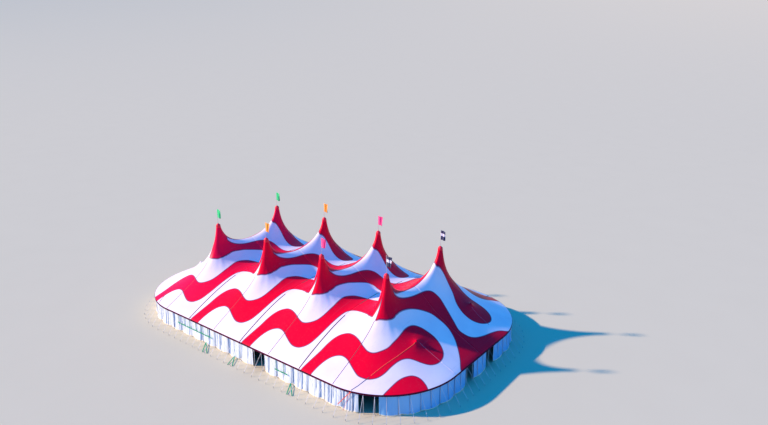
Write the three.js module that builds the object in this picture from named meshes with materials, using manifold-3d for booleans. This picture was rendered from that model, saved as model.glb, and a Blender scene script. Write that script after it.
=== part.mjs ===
// Circus big top tent with eight king poles, as a 1:10 scale model.
// Millimetres, +Z up, origin on the ground at the middle of the plan.
// X runs along the tent, and the front is the long side at -Y.
// Metres in these comments are those of the real tent: one is 100 mm here.

import * as THREE from "three";
import { mergeVertices } from "three/addons/utils/BufferGeometryUtils.js";
import Module from "manifold-3d";

// Plan: two rows of four king poles, and an eave that rounds the corner poles
const BAY = 2000; // between king poles along a row
const ROW = 2230; // between the two rows
const CORNER = 1890; // eave radius about a corner king pole
const GAP = 0.3; // between pieces that touch

// Heights
const EAVE_Z = 500;
const RING_Z = 2370; // canopy at its lifting rings
const END_QUARTER_Z = 1087; // canopy over the quarter poles of the ends

// Canopy
const RING_R = 55;
const SKIN = 8; // membrane thickness, heavier than the real sheet
const SKIN_STEEPEST = 4; // limit of the upright thickness on the cones, in skins
const VALANCE = 35; // band that hangs from the eave
const QUARTER_Y = ROW / 2 + 910;
const END_QUARTER = [1.5 * BAY + 900, ROW / 2 + 95];
const RIM_STEP = 520; // longest side of a canopy facet along its edges
const RING_STEPS = [0, 0.025, 0.075, 0.17, 0.34, 0.62, 1]; // from ring to edge

// How the membrane takes its form
const CELL = 25; // of the height field
const PULL_MIDDLE = 0.32; // tension along the tent over tension across it, between the rows
const PULL_OUTER = 0.78; // the same outside the rows
const PULL_BLEND = 200; // width of the change between them
const EASE = 0.0605 / 100; // how strongly the membrane is eased towards EASE_Z, per mm
const EASE_Z = 1015;
const SWEEPS = 900;
const OVERSHOOT = 1.965; // over-relaxation of each sweep

// King poles, their domes and flag staffs
const KING_R = 22;
const KING_FOOT_R = 50;
const FOOT_THICK = 8;
const DOME_R = 61;
const DOME_TOP = 48; // height of the dome
const DOME_SHOULDER = [0.8, 0.3]; // its shoulder, as shares of its radius and height
const DOME_NECK_R = 16;
const DOME_NECK_Z = 0.88; // share of its height
const STAFF_R = 5;
const STAFF_H = 430; // above the dome
const FLAG_W = 150;
const FLAG_H = 310;
const FLAG_THICK = 5;
const FLAG_BOW = 0.16; // how far it bows to either side, over its width
const FLAG_TURNS = [0.3, 0.55, 0.8]; // where it bows, crosses and bows back, along its width
const FLAG_DROP = 10; // from the staff's tip to the flag's top

// Quarter poles
const QUARTER_R = 9;
const QUARTER_FOOT_R = 26;
const QUARTER_TIP = 0.25; // share of its radius at the tip of the rounded head
const HEAD_CLEAR = 1.2; // lets the slanting canopy pass the edge of a pole's head

// Side poles, the rail at their heads, guys and stakes
const STRAIGHT_BAYS = 24; // side pole bays along each long side
const ARC_BAYS = 12; // round each corner
const END_BAYS = 9; // across each end
const SIDE_BAY = BAY / 8; // between side poles along the long sides
const POLE = 10; // side of a side pole
const RAIL = 14; // depth and width of the wall rail
const RAIL_TOP = 488;
const GUY = 5;
const GUY_HEAD_Z = 466;
const GUY_FOOT_Z = 34;
const STAKE = 9;
const STAKE_H = 45;
const STAKE_OUT = 320; // from the eave to a stake

// Wall curtains
const WALL = 5;
const WALL_PART = GAP / 400; // half the gap where two curtains meet, in side pole bays

// Doorways, as stretches of the side pole bays counted from the front left
const DOORS = [
  [13.7, 15.35],
  [26.55, 28.35],
  [37.9, 39.35],
  [41.65, 43.1],
];
const LONG_WALL_JOINT = 57.5; // the wall behind the back right corner is laced here

const halfLength = 1.5 * BAY;
const halfRow = ROW / 2;
const eaveY = halfRow + CORNER;

const wasm = await Module();
wasm.setup();

const materials = {
  canopy: { color: 0xd6203a, roughness: 0.45, metalness: 0 },
  wall: { color: 0xe9eef6, roughness: 0.5, metalness: 0 },
  steel: { color: 0x9aa0a6, roughness: 0.4, metalness: 0.9 },
  rope: { color: 0xe6e4da, roughness: 0.8, metalness: 0 },
  flag: { color: 0x2fae5a, roughness: 0.7, metalness: 0 },
};

const tent = new THREE.Group();
tent.name = "big_top";

function addMesh(name, geometry, finish) {
  const mesh = new THREE.Mesh(geometry, new THREE.MeshStandardMaterial(materials[finish]));
  mesh.name = name;
  tent.add(mesh);
  return mesh;
}

// Distance inside the eave, from its straight sides and round corners
function insideEave(x, y) {
  const dx = Math.abs(x) - halfLength;
  const dy = Math.abs(y) - halfRow;
  return CORNER - Math.hypot(Math.max(dx, 0), Math.max(dy, 0)) - Math.min(Math.max(dx, dy), 0);
}

// The height field of one quarter of the tent: each point settles at the mean of its
// neighbours, weighted by tension, between the eave, the lifting rings and the end quarter poles.
function formFindQuarter() {
  const across = Math.ceil((halfLength + CORNER) / CELL) + 1;
  const up = Math.ceil(eaveY / CELL) + 1;
  const z = new Float64Array((across + 1) * (up + 1)).fill(EAVE_Z);
  const free = new Uint8Array(z.length);
  const at = (i, j) => Math.abs(j) * (across + 1) + Math.abs(i);
  const hold = (x, y, height) => {
    const k = at(Math.round(x / CELL), Math.round(y / CELL));
    z[k] = height;
    free[k] = 0;
  };
  for (let j = 0; j <= up; j++) {
    for (let i = 0; i <= across; i++) {
      const x = i * CELL;
      const y = j * CELL;
      const ringGap = Math.min(
        Math.hypot(x - BAY / 2, y - halfRow),
        Math.hypot(x - halfLength, y - halfRow),
      );
      free[at(i, j)] = insideEave(x, y) > 0 && ringGap > RING_R ? 1 : 0;
      if (ringGap <= RING_R) z[at(i, j)] = RING_Z;
      if (free[at(i, j)]) z[at(i, j)] = 2 * EAVE_Z;
    }
  }
  hold(...END_QUARTER, END_QUARTER_Z);
  const ease = (EASE * CELL) ** 2;
  for (let sweep = 0; sweep < SWEEPS; sweep++) {
    for (let j = 0; j < up; j++) {
      const outer = 1 / (1 + Math.exp((halfRow - j * CELL) / PULL_BLEND));
      const pullAlong = PULL_MIDDLE + (PULL_OUTER - PULL_MIDDLE) * outer;
      const pullAcross = 1 / pullAlong;
      const whole = 2 * pullAlong + 2 * pullAcross + ease;
      for (let i = 0; i < across; i++) {
        const k = at(i, j);
        if (!free[k]) continue;
        const along = z[at(i - 1, j)] + z[at(i + 1, j)];
        const over = z[at(i, j - 1)] + z[at(i, j + 1)];
        const mean = (pullAlong * along + pullAcross * over + ease * EASE_Z) / whole;
        z[k] += OVERSHOOT * (mean - z[k]);
      }
    }
  }
  return (x, y) => {
    const u = Math.abs(x) / CELL;
    const v = Math.abs(y) / CELL;
    const i = Math.floor(u);
    const j = Math.floor(v);
    const a = u - i;
    const b = v - j;
    const near = (1 - a) * z[at(i, j)] + a * z[at(i + 1, j)];
    const far = (1 - a) * z[at(i, j + 1)] + a * z[at(i + 1, j + 1)];
    return (1 - b) * near + b * far;
  };
}

const fieldHeight = formFindQuarter();

// Height of the canopy's upper face
function canopyTop(x, y) {
  return insideEave(x, y) < 1 ? EAVE_Z : Math.max(EAVE_Z, fieldHeight(x, y));
}

// Upright thickness of the membrane, which grows as it steepens
function canopyDepth(x, y) {
  const step = CELL;
  const sx = (fieldHeight(x + step, y) - fieldHeight(x - step, y)) / (2 * step);
  const sy = (fieldHeight(x, y + step) - fieldHeight(x, y - step)) / (2 * step);
  return SKIN * Math.min(Math.hypot(1, sx, sy), SKIN_STEEPEST);
}

// Points from a to b, without b, no further apart than RIM_STEP
function stretch(a, b) {
  const length = Math.hypot(b[0] - a[0], b[1] - a[1]);
  const count = Math.max(1, Math.round(length / RIM_STEP));
  return Array.from({ length: count }, (_, k) => [
    a[0] + ((b[0] - a[0]) * k) / count,
    a[1] + ((b[1] - a[1]) * k) / count,
  ]);
}

// Edge of a canopy section round its king pole, in the quarter at +X +Y.
// Each point says whether it is on the eave, where the valance hangs.
function sectionRim(outer) {
  const seam = GAP / 2;
  const left = (outer ? BAY : 0) + seam;
  if (!outer) {
    const right = BAY - seam;
    const plain = (points) => points.map((p) => [...p, false]);
    return [
      ...plain(stretch([left, seam], [right, seam])),
      ...plain(stretch([right, seam], [right, eaveY])),
      ...stretch([right, eaveY], [left, eaveY]).map((p) => [...p, true]),
      [left, eaveY, true],
      ...plain(stretch([left, eaveY], [left, seam]).slice(1)),
    ];
  }
  const end = halfLength + CORNER;
  const arc = Array.from({ length: ARC_BAYS + 1 }, (_, k) => {
    const angle = (k / ARC_BAYS) * (Math.PI / 2);
    return [halfLength + CORNER * Math.cos(angle), halfRow + CORNER * Math.sin(angle)];
  });
  return [
    ...stretch([left, seam], [end, seam]).map((p) => [...p, false]),
    ...stretch([end, seam], arc[0]).map((p) => [...p, true]),
    ...arc.map((p) => [...p, true]),
    ...stretch([halfLength, eaveY], [left, eaveY]).slice(1).map((p) => [...p, true]),
    [left, eaveY, true],
    ...stretch([left, eaveY], [left, seam]).slice(1).map((p) => [...p, false]),
  ];
}

// One canopy section as a closed shell: facets run from the lifting ring to the edge.
function canopySection(outer) {
  const mast = [outer ? halfLength : BAY / 2, halfRow];
  const rim = sectionRim(outer);
  const rows = RING_STEPS.length;
  const position = [];
  const index = [];
  const upper = [];
  const lower = [];
  rim.forEach(([x, y]) => {
    const reach = Math.hypot(x - mast[0], y - mast[1]);
    const ring = [
      mast[0] + ((x - mast[0]) * RING_R) / reach,
      mast[1] + ((y - mast[1]) * RING_R) / reach,
    ];
    const topRow = [];
    const underRow = [];
    RING_STEPS.forEach((t, k) => {
      const px = ring[0] + (x - ring[0]) * t;
      const py = ring[1] + (y - ring[1]) * t;
      const top = k === 0 ? RING_Z : canopyTop(px, py);
      topRow.push(position.push(px, py, top) / 3 - 1);
      underRow.push(position.push(px, py, top - canopyDepth(px, py)) / 3 - 1);
    });
    upper.push(topRow);
    lower.push(underRow);
  });
  const quad = (a, b, c, d) => index.push(a, b, c, a, c, d);
  // the valance's lower corners under an eave point, outside and inside
  const hem = rim.map(([x, y, onEave], n) => {
    if (!onEave) return null;
    const nx = Math.max(x - halfLength, 0);
    const ny = y > halfRow ? y - halfRow : 0;
    const size = Math.hypot(nx, ny);
    const ix = x - (nx / size) * SKIN;
    const iy = y - (ny / size) * SKIN;
    const insideTop = position.push(ix, iy, EAVE_Z - SKIN) / 3 - 1;
    const inside = position.push(ix, iy, EAVE_Z - VALANCE) / 3 - 1;
    const outside = position.push(x, y, EAVE_Z - VALANCE) / 3 - 1;
    lower[n][rows - 1] = insideTop;
    return [outside, inside];
  });
  rim.forEach((_, n) => {
    const m = (n + 1) % rim.length;
    for (let k = 0; k + 1 < rows; k++) {
      quad(upper[n][k], upper[n][k + 1], upper[m][k + 1], upper[m][k]);
      quad(lower[n][k], lower[m][k], lower[m][k + 1], lower[n][k + 1]);
    }
    quad(lower[n][0], upper[n][0], upper[m][0], lower[m][0]);
    const [topN, topM] = [upper[n][rows - 1], upper[m][rows - 1]];
    const [underN, underM] = [lower[n][rows - 1], lower[m][rows - 1]];
    if (hem[n] && hem[m]) {
      quad(topN, hem[n][0], hem[m][0], topM);
      quad(hem[n][0], hem[n][1], hem[m][1], hem[m][0]);
      quad(hem[n][1], underN, underM, hem[m][1]);
    } else {
      quad(topN, underN, underM, topM);
      if (hem[n]) index.push(topN, hem[n][0], underN, hem[n][0], hem[n][1], underN);
      if (hem[m]) index.push(topM, underM, hem[m][0], hem[m][0], underM, hem[m][1]);
    }
  });
  const geometry = new THREE.BufferGeometry();
  geometry.setAttribute("position", new THREE.Float32BufferAttribute(position, 3));
  geometry.setIndex(index);
  return geometry;
}

// Height of a canopy section's faceted underside over a point of its quarter
function undersideOf(geometry) {
  const p = geometry.getAttribute("position");
  const ids = geometry.index.array;
  return (x, y) => {
    let lowest = Infinity;
    for (let t = 0; t < ids.length; t += 3) {
      const [a, b, c] = [ids[t], ids[t + 1], ids[t + 2]];
      const area = (u, v, px, py) =>
        (p.getX(v) - p.getX(u)) * (py - p.getY(u)) - (px - p.getX(u)) * (p.getY(v) - p.getY(u));
      const whole = area(a, b, p.getX(c), p.getY(c));
      if (Math.abs(whole) < 1) continue;
      const wc = area(a, b, x, y) / whole;
      const wa = area(b, c, x, y) / whole;
      const wb = 1 - wa - wc;
      if (Math.min(wa, wb, wc) < -1e-6) continue;
      lowest = Math.min(lowest, wa * p.getZ(a) + wb * p.getZ(b) + wc * p.getZ(c));
    }
    return lowest;
  };
}

const innerSection = canopySection(false);
const outerSection = canopySection(true);
const underInner = undersideOf(innerSection);
const underOuter = undersideOf(outerSection);

const sides = [
  ["front", -1],
  ["back", 1],
];
for (const [side, sy] of sides) {
  [-1.5, -0.5, 0.5, 1.5].forEach((bay, k) => {
    const outer = Math.abs(bay) > 1;
    const section = addMesh(`canopy_${side}_${k + 1}`, outer ? outerSection : innerSection, "canopy");
    section.scale.set(Math.sign(bay), sy, 1);
  });
}

// King poles: foot, mast, dome over the lifting ring and flag staff, turned as one piece
function kingPole() {
  const flange = RING_Z + GAP;
  const staffFoot = flange + DOME_TOP;
  const profile = [
    [0, 0],
    [KING_FOOT_R, 0],
    [KING_FOOT_R, FOOT_THICK],
    [KING_R, FOOT_THICK],
    [KING_R, flange],
    [DOME_R, flange],
    [DOME_R * DOME_SHOULDER[0], flange + DOME_TOP * DOME_SHOULDER[1]],
    [DOME_NECK_R, flange + DOME_TOP * DOME_NECK_Z],
    [STAFF_R, staffFoot],
    [STAFF_R, staffFoot + STAFF_H],
    [0, staffFoot + STAFF_H],
  ];
  return new THREE.LatheGeometry(profile.map(([r, z]) => new THREE.Vector2(r, z)), 10).rotateX(
    Math.PI / 2,
  );
}

// Flag: a cloth on the staff's +X side, bowed a little by the wind
function flagCloth() {
  const shape = new THREE.Shape();
  const near = STAFF_R + GAP;
  const far = near + FLAG_W;
  const bow = FLAG_W * FLAG_BOW;
  const [out, cross, back] = FLAG_TURNS.map((share) => near + FLAG_W * share);
  shape.moveTo(near, -FLAG_THICK / 2);
  shape.quadraticCurveTo(out, -bow, cross, 0);
  shape.quadraticCurveTo(back, bow, far, 0);
  shape.lineTo(far, FLAG_THICK);
  shape.quadraticCurveTo(back, bow + FLAG_THICK, cross, FLAG_THICK);
  shape.quadraticCurveTo(out, FLAG_THICK - bow, near, FLAG_THICK / 2);
  return new THREE.ExtrudeGeometry(shape, { depth: FLAG_H, bevelEnabled: false, curveSegments: 4 });
}

const kingGeometry = kingPole();
const flagGeometry = flagCloth();
const flagFoot = RING_Z + DOME_TOP + STAFF_H - FLAG_H - FLAG_DROP;
for (const [side, sy] of sides) {
  [-1.5, -0.5, 0.5, 1.5].forEach((bay, k) => {
    const pole = addMesh(`king_pole_${side}_${k + 1}`, kingGeometry, "steel");
    pole.position.set(bay * BAY, sy * halfRow, 0);
    const flag = addMesh(`flag_${side}_${k + 1}`, flagGeometry, "flag");
    flag.position.set(bay * BAY, sy * halfRow, flagFoot);
  });
}

// Quarter poles, each with a rounded head just under the canopy
function quarterPole(height) {
  const profile = [
    [0, 0],
    [QUARTER_FOOT_R, 0],
    [QUARTER_FOOT_R, FOOT_THICK],
    [QUARTER_R, FOOT_THICK],
    [QUARTER_R, height - 2 * QUARTER_R],
    [QUARTER_R * QUARTER_TIP, height],
    [0, height],
  ];
  return new THREE.LatheGeometry(profile.map(([r, z]) => new THREE.Vector2(r, z)), 8).rotateX(
    Math.PI / 2,
  );
}

const quarterPlaces = [
  [BAY / 2, QUARTER_Y, underInner, "mid"],
  [halfLength, QUARTER_Y, underOuter, "side"],
  [...END_QUARTER, underOuter, "end"],
];
for (const [side, sy] of sides) {
  for (const [end, sx] of [["left", -1], ["right", 1]]) {
    for (const [x, y, under, where] of quarterPlaces) {
      const pole = addMesh(
        `quarter_pole_${where}_${side}_${end}`,
        quarterPole(under(x, y) - GAP - HEAD_CLEAR),
        "steel",
      );
      pole.position.set(sx * x, sy * y, 0);
    }
  }
}

// Stations round the tent, one at each side pole: a point on the eave and its outward normal
function eaveStations() {
  const stations = [];
  const half = [];
  for (let k = 0; k < STRAIGHT_BAYS; k++) {
    half.push([-halfLength + (2 * halfLength * k) / STRAIGHT_BAYS, -eaveY, 0, -1]);
  }
  const turn = (cx, cy, from) => {
    for (let k = 0; k < ARC_BAYS; k++) {
      const a = from + (k / ARC_BAYS) * (Math.PI / 2);
      half.push([cx + CORNER * Math.cos(a), cy + CORNER * Math.sin(a), Math.cos(a), Math.sin(a)]);
    }
  };
  turn(halfLength, -halfRow, -Math.PI / 2);
  for (let k = 0; k < END_BAYS; k++) {
    half.push([halfLength + CORNER, -halfRow + (ROW * k) / END_BAYS, 1, 0]);
  }
  turn(halfLength, halfRow, 0);
  for (const turned of [1, -1]) {
    for (const [x, y, nx, ny] of half) {
      stations.push({ x: turned * x, y: turned * y, nx: turned * nx, ny: turned * ny });
    }
  }
  return stations;
}

const stations = eaveStations();
const halfCount = stations.length / 2;

// The point at s bays round the tent, moved inwards from the eave
function stationPoint(s, inwards) {
  const k = Math.floor(s + 1e-9);
  const t = s - k;
  const [a, b] = [stations[k % stations.length], stations[(k + 1) % stations.length]];
  const place = (q) => [q.x - q.nx * inwards, q.y - q.ny * inwards];
  const [p, q] = [place(a), place(b)];
  return new THREE.Vector2(p[0] + (q[0] - p[0]) * t, p[1] + (q[1] - p[1]) * t);
}

// Stations that bound the facets of a stretch, leaving out those along straight sides
function facetStops(from, to) {
  const stops = [from];
  for (let k = Math.floor(from) + 1; k < to; k++) {
    const [a, b] = [stations[(k - 1) % stations.length], stations[k % stations.length]];
    const c = stations[(k + 1) % stations.length];
    const straight = a.nx === b.nx && a.ny === b.ny && c.nx === b.nx && c.ny === b.ny;
    if (!straight) stops.push(k);
  }
  stops.push(to);
  return stops;
}

// An upright strip round the tent between two offsets inside the eave
function strip(from, to, nearEave, farIn, bottom, height) {
  const stops = facetStops(from, to);
  const outline = [
    ...stops.map((s) => stationPoint(s, nearEave)),
    ...stops.reverse().map((s) => stationPoint(s, farIn)),
  ];
  const geometry = new THREE.ExtrudeGeometry(new THREE.Shape(outline), {
    depth: height,
    bevelEnabled: false,
  });
  return geometry.translate(0, 0, bottom);
}

function toSolid(geometry) {
  geometry.deleteAttribute("normal");
  geometry.deleteAttribute("uv");
  const merged = mergeVertices(geometry, 1e-4);
  return new wasm.Manifold(
    new wasm.Mesh({
      numProp: 3,
      vertProperties: merged.getAttribute("position").array,
      triVerts: new Uint32Array(merged.index.array),
    }),
  );
}

function toGeometry(solid) {
  const mesh = solid.getMesh();
  const geometry = new THREE.BufferGeometry();
  geometry.setAttribute("position", new THREE.BufferAttribute(mesh.vertProperties, 3));
  geometry.setIndex(new THREE.BufferAttribute(mesh.triVerts, 1));
  return geometry;
}

// A square bar between two points
function bar(a, b, side) {
  const direction = new THREE.Vector3().subVectors(b, a);
  const geometry = new THREE.BoxGeometry(side, side, direction.length());
  const turn = new THREE.Quaternion().setFromUnitVectors(
    new THREE.Vector3(0, 0, 1),
    direction.clone().normalize(),
  );
  const middle = new THREE.Vector3().addVectors(a, b).multiplyScalar(0.5);
  return geometry.applyQuaternion(turn).translate(middle.x, middle.y, middle.z);
}

const railOut = SKIN + GAP; // the rail's outer face lies behind the valance
const poleIn = railOut + RAIL / 2;
const wallOut = railOut + RAIL + GAP;

// Side poles of one stretch: poles, the rail that joins their heads, guys and stakes
function sidePoles(from, to) {
  const gap = GAP / 2 / SIDE_BAY;
  const pieces = [toSolid(strip(from + gap, to - gap, railOut, railOut + RAIL, RAIL_TOP - RAIL, RAIL))];
  for (let k = Math.ceil(from); k < to; k++) {
    const q = stations[k % stations.length];
    const turned = Math.atan2(q.ny, q.nx);
    const post = (out, side, z0, z1) => {
      const box = new THREE.BoxGeometry(side, side, z1 - z0).rotateZ(turned);
      return toSolid(box.translate(q.x + q.nx * out, q.y + q.ny * out, (z0 + z1) / 2));
    };
    const on = (out, z) => new THREE.Vector3(q.x + q.nx * out, q.y + q.ny * out, z);
    pieces.push(post(-poleIn, POLE, 0, RAIL_TOP - RAIL / 2));
    pieces.push(post(STAKE_OUT, STAKE, 0, STAKE_H));
    pieces.push(toSolid(bar(on(-poleIn, GUY_HEAD_Z), on(STAKE_OUT, GUY_FOOT_Z), GUY)));
  }
  return toGeometry(wasm.Manifold.union(pieces));
}

// Doorways and wall joints all round: the second half repeats the first, turned half round
const doorways = [...DOORS, ...DOORS.map(([a, b]) => [a + halfCount, b + halfCount])];
const stretchNames = [
  "front_right",
  "corner_front_right",
  "end_right",
  "corner_back_right",
  "back_right",
  "back_left",
  "corner_back_left",
  "end_left",
  "corner_front_left",
  "front_left",
];
const joints = doorways.map(([a, b]) => ({ close: a, open: b, middle: Math.floor((a + b) / 2) + 0.5 }));
joints.splice(4, 0, {
  close: LONG_WALL_JOINT - WALL_PART,
  open: LONG_WALL_JOINT + WALL_PART,
  middle: LONG_WALL_JOINT,
});
const second = LONG_WALL_JOINT + halfCount;
joints.push({ close: second - WALL_PART, open: second + WALL_PART, middle: second });
const around = [
  ...joints,
  { close: joints[0].close + stations.length, middle: joints[0].middle + stations.length },
];
stretchNames.forEach((name, k) => {
  const [here, next] = [around[k], around[k + 1]];
  addMesh(`side_poles_${name}`, sidePoles(here.middle, next.middle), "rope");
  addMesh(
    `wall_${name}`,
    strip(here.open, next.close, wallOut, wallOut + WALL, 0, RAIL_TOP),
    "wall",
  );
});

export default tent;
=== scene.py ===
"""Circus big top tent as a 1:10 scale model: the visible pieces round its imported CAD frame.

Metres, +Z up, origin on the ground at the middle of the plan, front side at -Y. Plan points of the
canopy's pattern are in metres of the real tent, ten times the model's.
"""

import functools
import math
import random

import bmesh
import bpy
import numpy as np
from mathutils import Matrix, Vector


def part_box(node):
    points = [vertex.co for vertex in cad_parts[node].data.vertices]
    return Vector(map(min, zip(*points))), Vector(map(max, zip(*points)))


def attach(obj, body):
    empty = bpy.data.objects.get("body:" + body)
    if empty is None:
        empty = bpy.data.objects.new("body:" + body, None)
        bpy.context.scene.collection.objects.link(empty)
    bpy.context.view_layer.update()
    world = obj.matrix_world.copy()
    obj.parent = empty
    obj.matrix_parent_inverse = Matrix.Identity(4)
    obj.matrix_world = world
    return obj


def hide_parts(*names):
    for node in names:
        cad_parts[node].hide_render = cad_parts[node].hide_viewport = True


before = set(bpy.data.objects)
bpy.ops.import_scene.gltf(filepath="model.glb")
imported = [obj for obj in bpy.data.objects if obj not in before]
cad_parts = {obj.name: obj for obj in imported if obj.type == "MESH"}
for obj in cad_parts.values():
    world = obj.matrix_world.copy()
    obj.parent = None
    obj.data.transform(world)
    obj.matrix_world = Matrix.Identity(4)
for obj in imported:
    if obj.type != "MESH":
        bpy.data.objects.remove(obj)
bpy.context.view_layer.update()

bl_info = {
    "name": "Circus Big Top",
    "version": (1, 0, 0),
    "blender": (4, 5, 0),
    "location": "View3D > Sidebar > Big Top",
    "description": "Pieces of a circus big top tent: canopy, walls, poles, rigging and flags",
    "category": "Add Mesh",
}

REAL = 0.1  # a metre of the real tent in the model
UP = Vector((0, 0, 1))

# Plan and heights, as the frame has them
BAY = 2.0  # from king pole to king pole along the tent
ROW = 2.23  # between the two rows of king poles
CORNER = 1.89  # radius of the plan's corners, round the king poles at its ends
HALF_LENGTH = 1.5 * BAY
HALF_ROW = ROW / 2
EAVE_Y = HALF_ROW + CORNER
GAP = 0.0003  # between pieces that touch
EAVE_Z = 0.5
RING_Z = 2.37
RING_R = 0.055
VALANCE = 0.035
END_QUARTER = (HALF_LENGTH + 0.9, HALF_ROW + 0.095)  # the quarter poles at the tent's ends
END_QUARTER_Z = 1.087
QUARTER_Y = HALF_ROW + 0.91

# How the membrane takes its form
CELL = 0.025
PULL_MIDDLE = 0.32  # tension along the tent between the rows of king poles, one over that across
PULL_OUTER = 0.78  # and outside the rows
PULL_BLEND = 0.2
EASE = 0.605  # how strongly the membrane is drawn to the height EASE_Z
EASE_Z = 1.015
SWEEPS = 900
OVERSHOOT = 1.965
CONE_R = 0.15  # inside this the cone's line is drawn smooth
FOLD_RISE = 0.002
FOLD_REACH, FOLD_SPREAD = 0.42, 0.3  # where the folds round a king pole are deepest, and how wide

# Stations round the eave, one at each side pole
STRAIGHT_BAYS = 24
ARC_BAYS = 12
END_BAYS = 9
HALF_ROUND = STRAIGHT_BAYS + 2 * ARC_BAYS + END_BAYS
POLE_BAY = 2 * HALF_LENGTH / STRAIGHT_BAYS
RAIL_IN = 0.0153  # from the eave to the side poles and their rail
RAIL_Z = 0.481
WALL_IN = 0.0291  # from the eave to the middle of the curtain
WALL_TOP = 0.488
STAKE_OUT = 0.32
GUY_HEAD_Z = 0.466
GUY_FOOT_Z = 0.034
DOORS = [(13.7, 15.35), (26.55, 28.35), (37.9, 39.35), (41.65, 43.1)]
WALL_JOINT = 57.5

SIDES = (("front", -1), ("back", 1))
KING_BAYS = (-1.5, -0.5, 0.5, 1.5)
KING_POLES = [
    (side, k + 1, bay * BAY, sy * HALF_ROW) for side, sy in SIDES for k, bay in enumerate(KING_BAYS)
]
STRETCHES = (
    "front_right", "corner_front_right", "end_right", "corner_back_right", "back_right",
    "back_left", "corner_back_left", "end_left", "corner_front_left", "front_left",
)


def shifted(points, dx):
    return [(x + dx, y) for x, y in points]


def turned(points):
    return [(-x, -y) for x, y in points]


# Red of the canopy, as loops of plan points of the real tent in metres. A loop passes smoothly
# through its points; where it crosses the eave it is cut there. The first two are the edges of
# a stripe, which other loops share.
STRIPE_LEFT = [
    (0.55, -30.3), (1.2, -27.5), (1.8, -25), (2.1, -22.8), (2.6, -21), (3.5, -19.7), (5, -19.0),
    (6.7, -19.1), (8.7, -19.7), (10.7, -20.5), (12.4, -20.85), (13.9, -20.2), (15.2, -18.7),
    (15.75, -16.5),
]
STRIPE_RIGHT = [
    (19.1, -14.5), (18.9, -17), (18.7, -20), (18.4, -22.5), (17.8, -24.5), (16.5, -25.8),
    (15, -26.2), (13.5, -26), (11.5, -25.2), (9.5, -24.3), (8, -24), (6.8, -24.2), (5.5, -25),
    (4.6, -26.3), (4.0, -28), (3.6, -30.3), (3.3, -32), (0.3, -32),
]
FRONT_BAND = STRIPE_LEFT + [
    (15.85, -13.5), (15.7, -10.5), (16.0, -9.0), (16.9, -7.2), (18.2, -6.2), (19.8, -5.75),
    (21.5, -5.7), (24, -6.4), (27, -8.4), (29.6, -10.3), (30.8, -9.8), (32.2, -10.2), (33.0, -12),
    (32.4, -13.8), (31, -15), (30, -15.3), (28, -14.8), (26, -13.5), (24, -12.3), (22, -11.7),
    (20.5, -11.9), (19.5, -12.9),
] + STRIPE_RIGHT
RISE_LEFT = [
    (11.0, -10.2), (11.6, -8), (12.0, -5.5), (12.2, -3), (12.3, -0.5), (12.6, 1.5), (13.2, 3.3),
    (14.2, 4.6), (15.5, 5.05), (17, 5.1), (18.6, 5.3), (20, 6.1), (20.8, 7.8), (21.1, 10),
]
BACK_BAND = turned(shifted(STRIPE_RIGHT + STRIPE_LEFT, -40)) + [
    (24.2, 14.5), (24.6, 12.5), (25.8, 10.8), (27.3, 10.2), (28.8, 9.5), (29.2, 8), (29.6, 4),
    (29.9, 0), (30, -3),
]
RISE_RIGHT = [
    (30.5, -6), (31, -9.6), (29.6, -10.4), (28, -8), (25, -4.5), (22, -1.5), (20, -0.3),
    (18.5, 0.1), (17, 0.3), (15.7, -0.4), (14.8, -2), (14, -4.2), (13.5, -6), (13.1, -9),
    (13.0, -12), (11.4, -12.4),
]
RIDGE_LOBE = [
    (10.3, 8.6), (11.3, 9.5), (12.6, 10.0), (14.5, 9.7), (16.5, 9.5), (18, 9.9), (18.7, 10.9),
    (18.9, 12.2), (18.6, 13.5), (17.6, 14.3), (16, 14.5), (14, 14.6), (12, 14.9), (10, 15),
    (8.6, 14), (8.2, 12), (8.8, 10),
]
END_LOBE = [
    (30.3, 8.8), (31, 9.5), (32, 10.4), (33.5, 10.4), (35, 9.8), (37, 8.2), (39, 7.3), (40.5, 7.2),
    (42, 7.6), (43.5, 9), (44.3, 11), (44.2, 13), (43, 14.8), (41, 15.7), (39, 15.4), (37, 14.8),
    (34, 14.8), (32, 15.0), (30, 15), (28.6, 14), (28.2, 12), (28.8, 10),
]
END_BAND = [
    (31.0, -10.2), (31.6, -8), (31.85, -4), (32, 0), (32.3, 2), (33, 3.5), (34.3, 4.25),
    (35.5, 4.15), (37.5, 3.4), (40, 2.2), (41.8, 1.25), (43, 1.3), (44.5, 2.0), (45.5, 3.5),
    (46.2, 6), (46.7, 9), (47.3, 11.5), (48.3, 13.2), (50, 15), (52, 6), (52, -4), (51, -9),
    (49, -9), (47, -6.3), (45, -4), (43, -2.2), (41, -1.1), (39.5, -0.8), (38, -1), (36.2, -1.7),
    (34.8, -3.4), (33.8, -5.5), (33.2, -8), (33, -10), (32.9, -12), (32.4, -13.8), (31, -15),
    (30, -15.3), (29.4, -12),
]
END_FRONT_BAND = shifted(STRIPE_LEFT[:12], 20) + [
    (35.3, -18), (35.6, -16), (35.7, -14), (35.55, -11.5), (35.7, -10), (36.2, -8.6), (37.3, -7.5),
    (38.7, -6.9), (40.3, -6.6), (42, -7), (43.5, -8), (44.4, -9.4), (44.7, -11), (44.5, -12.5),
    (43.8, -13.8), (42.5, -14.8), (41, -15.6), (40, -16.3), (39.2, -17.4), (38.7, -18.8),
    (38.4, -20.5), (38.2, -22.5), (37.6, -24.2), (36.3, -25.5), (34.8, -26),
] + shifted(STRIPE_RIGHT[7:], 20)
CORNER_LOBE = [
    (40.9, -28.5), (40.9, -27), (41.1, -24.5), (41.4, -22), (42, -20.3), (43, -18.9),
    (44.4, -18.3), (46, -18.6), (47.2, -19.3), (50, -21), (50, -29), (42, -31),
]
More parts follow.
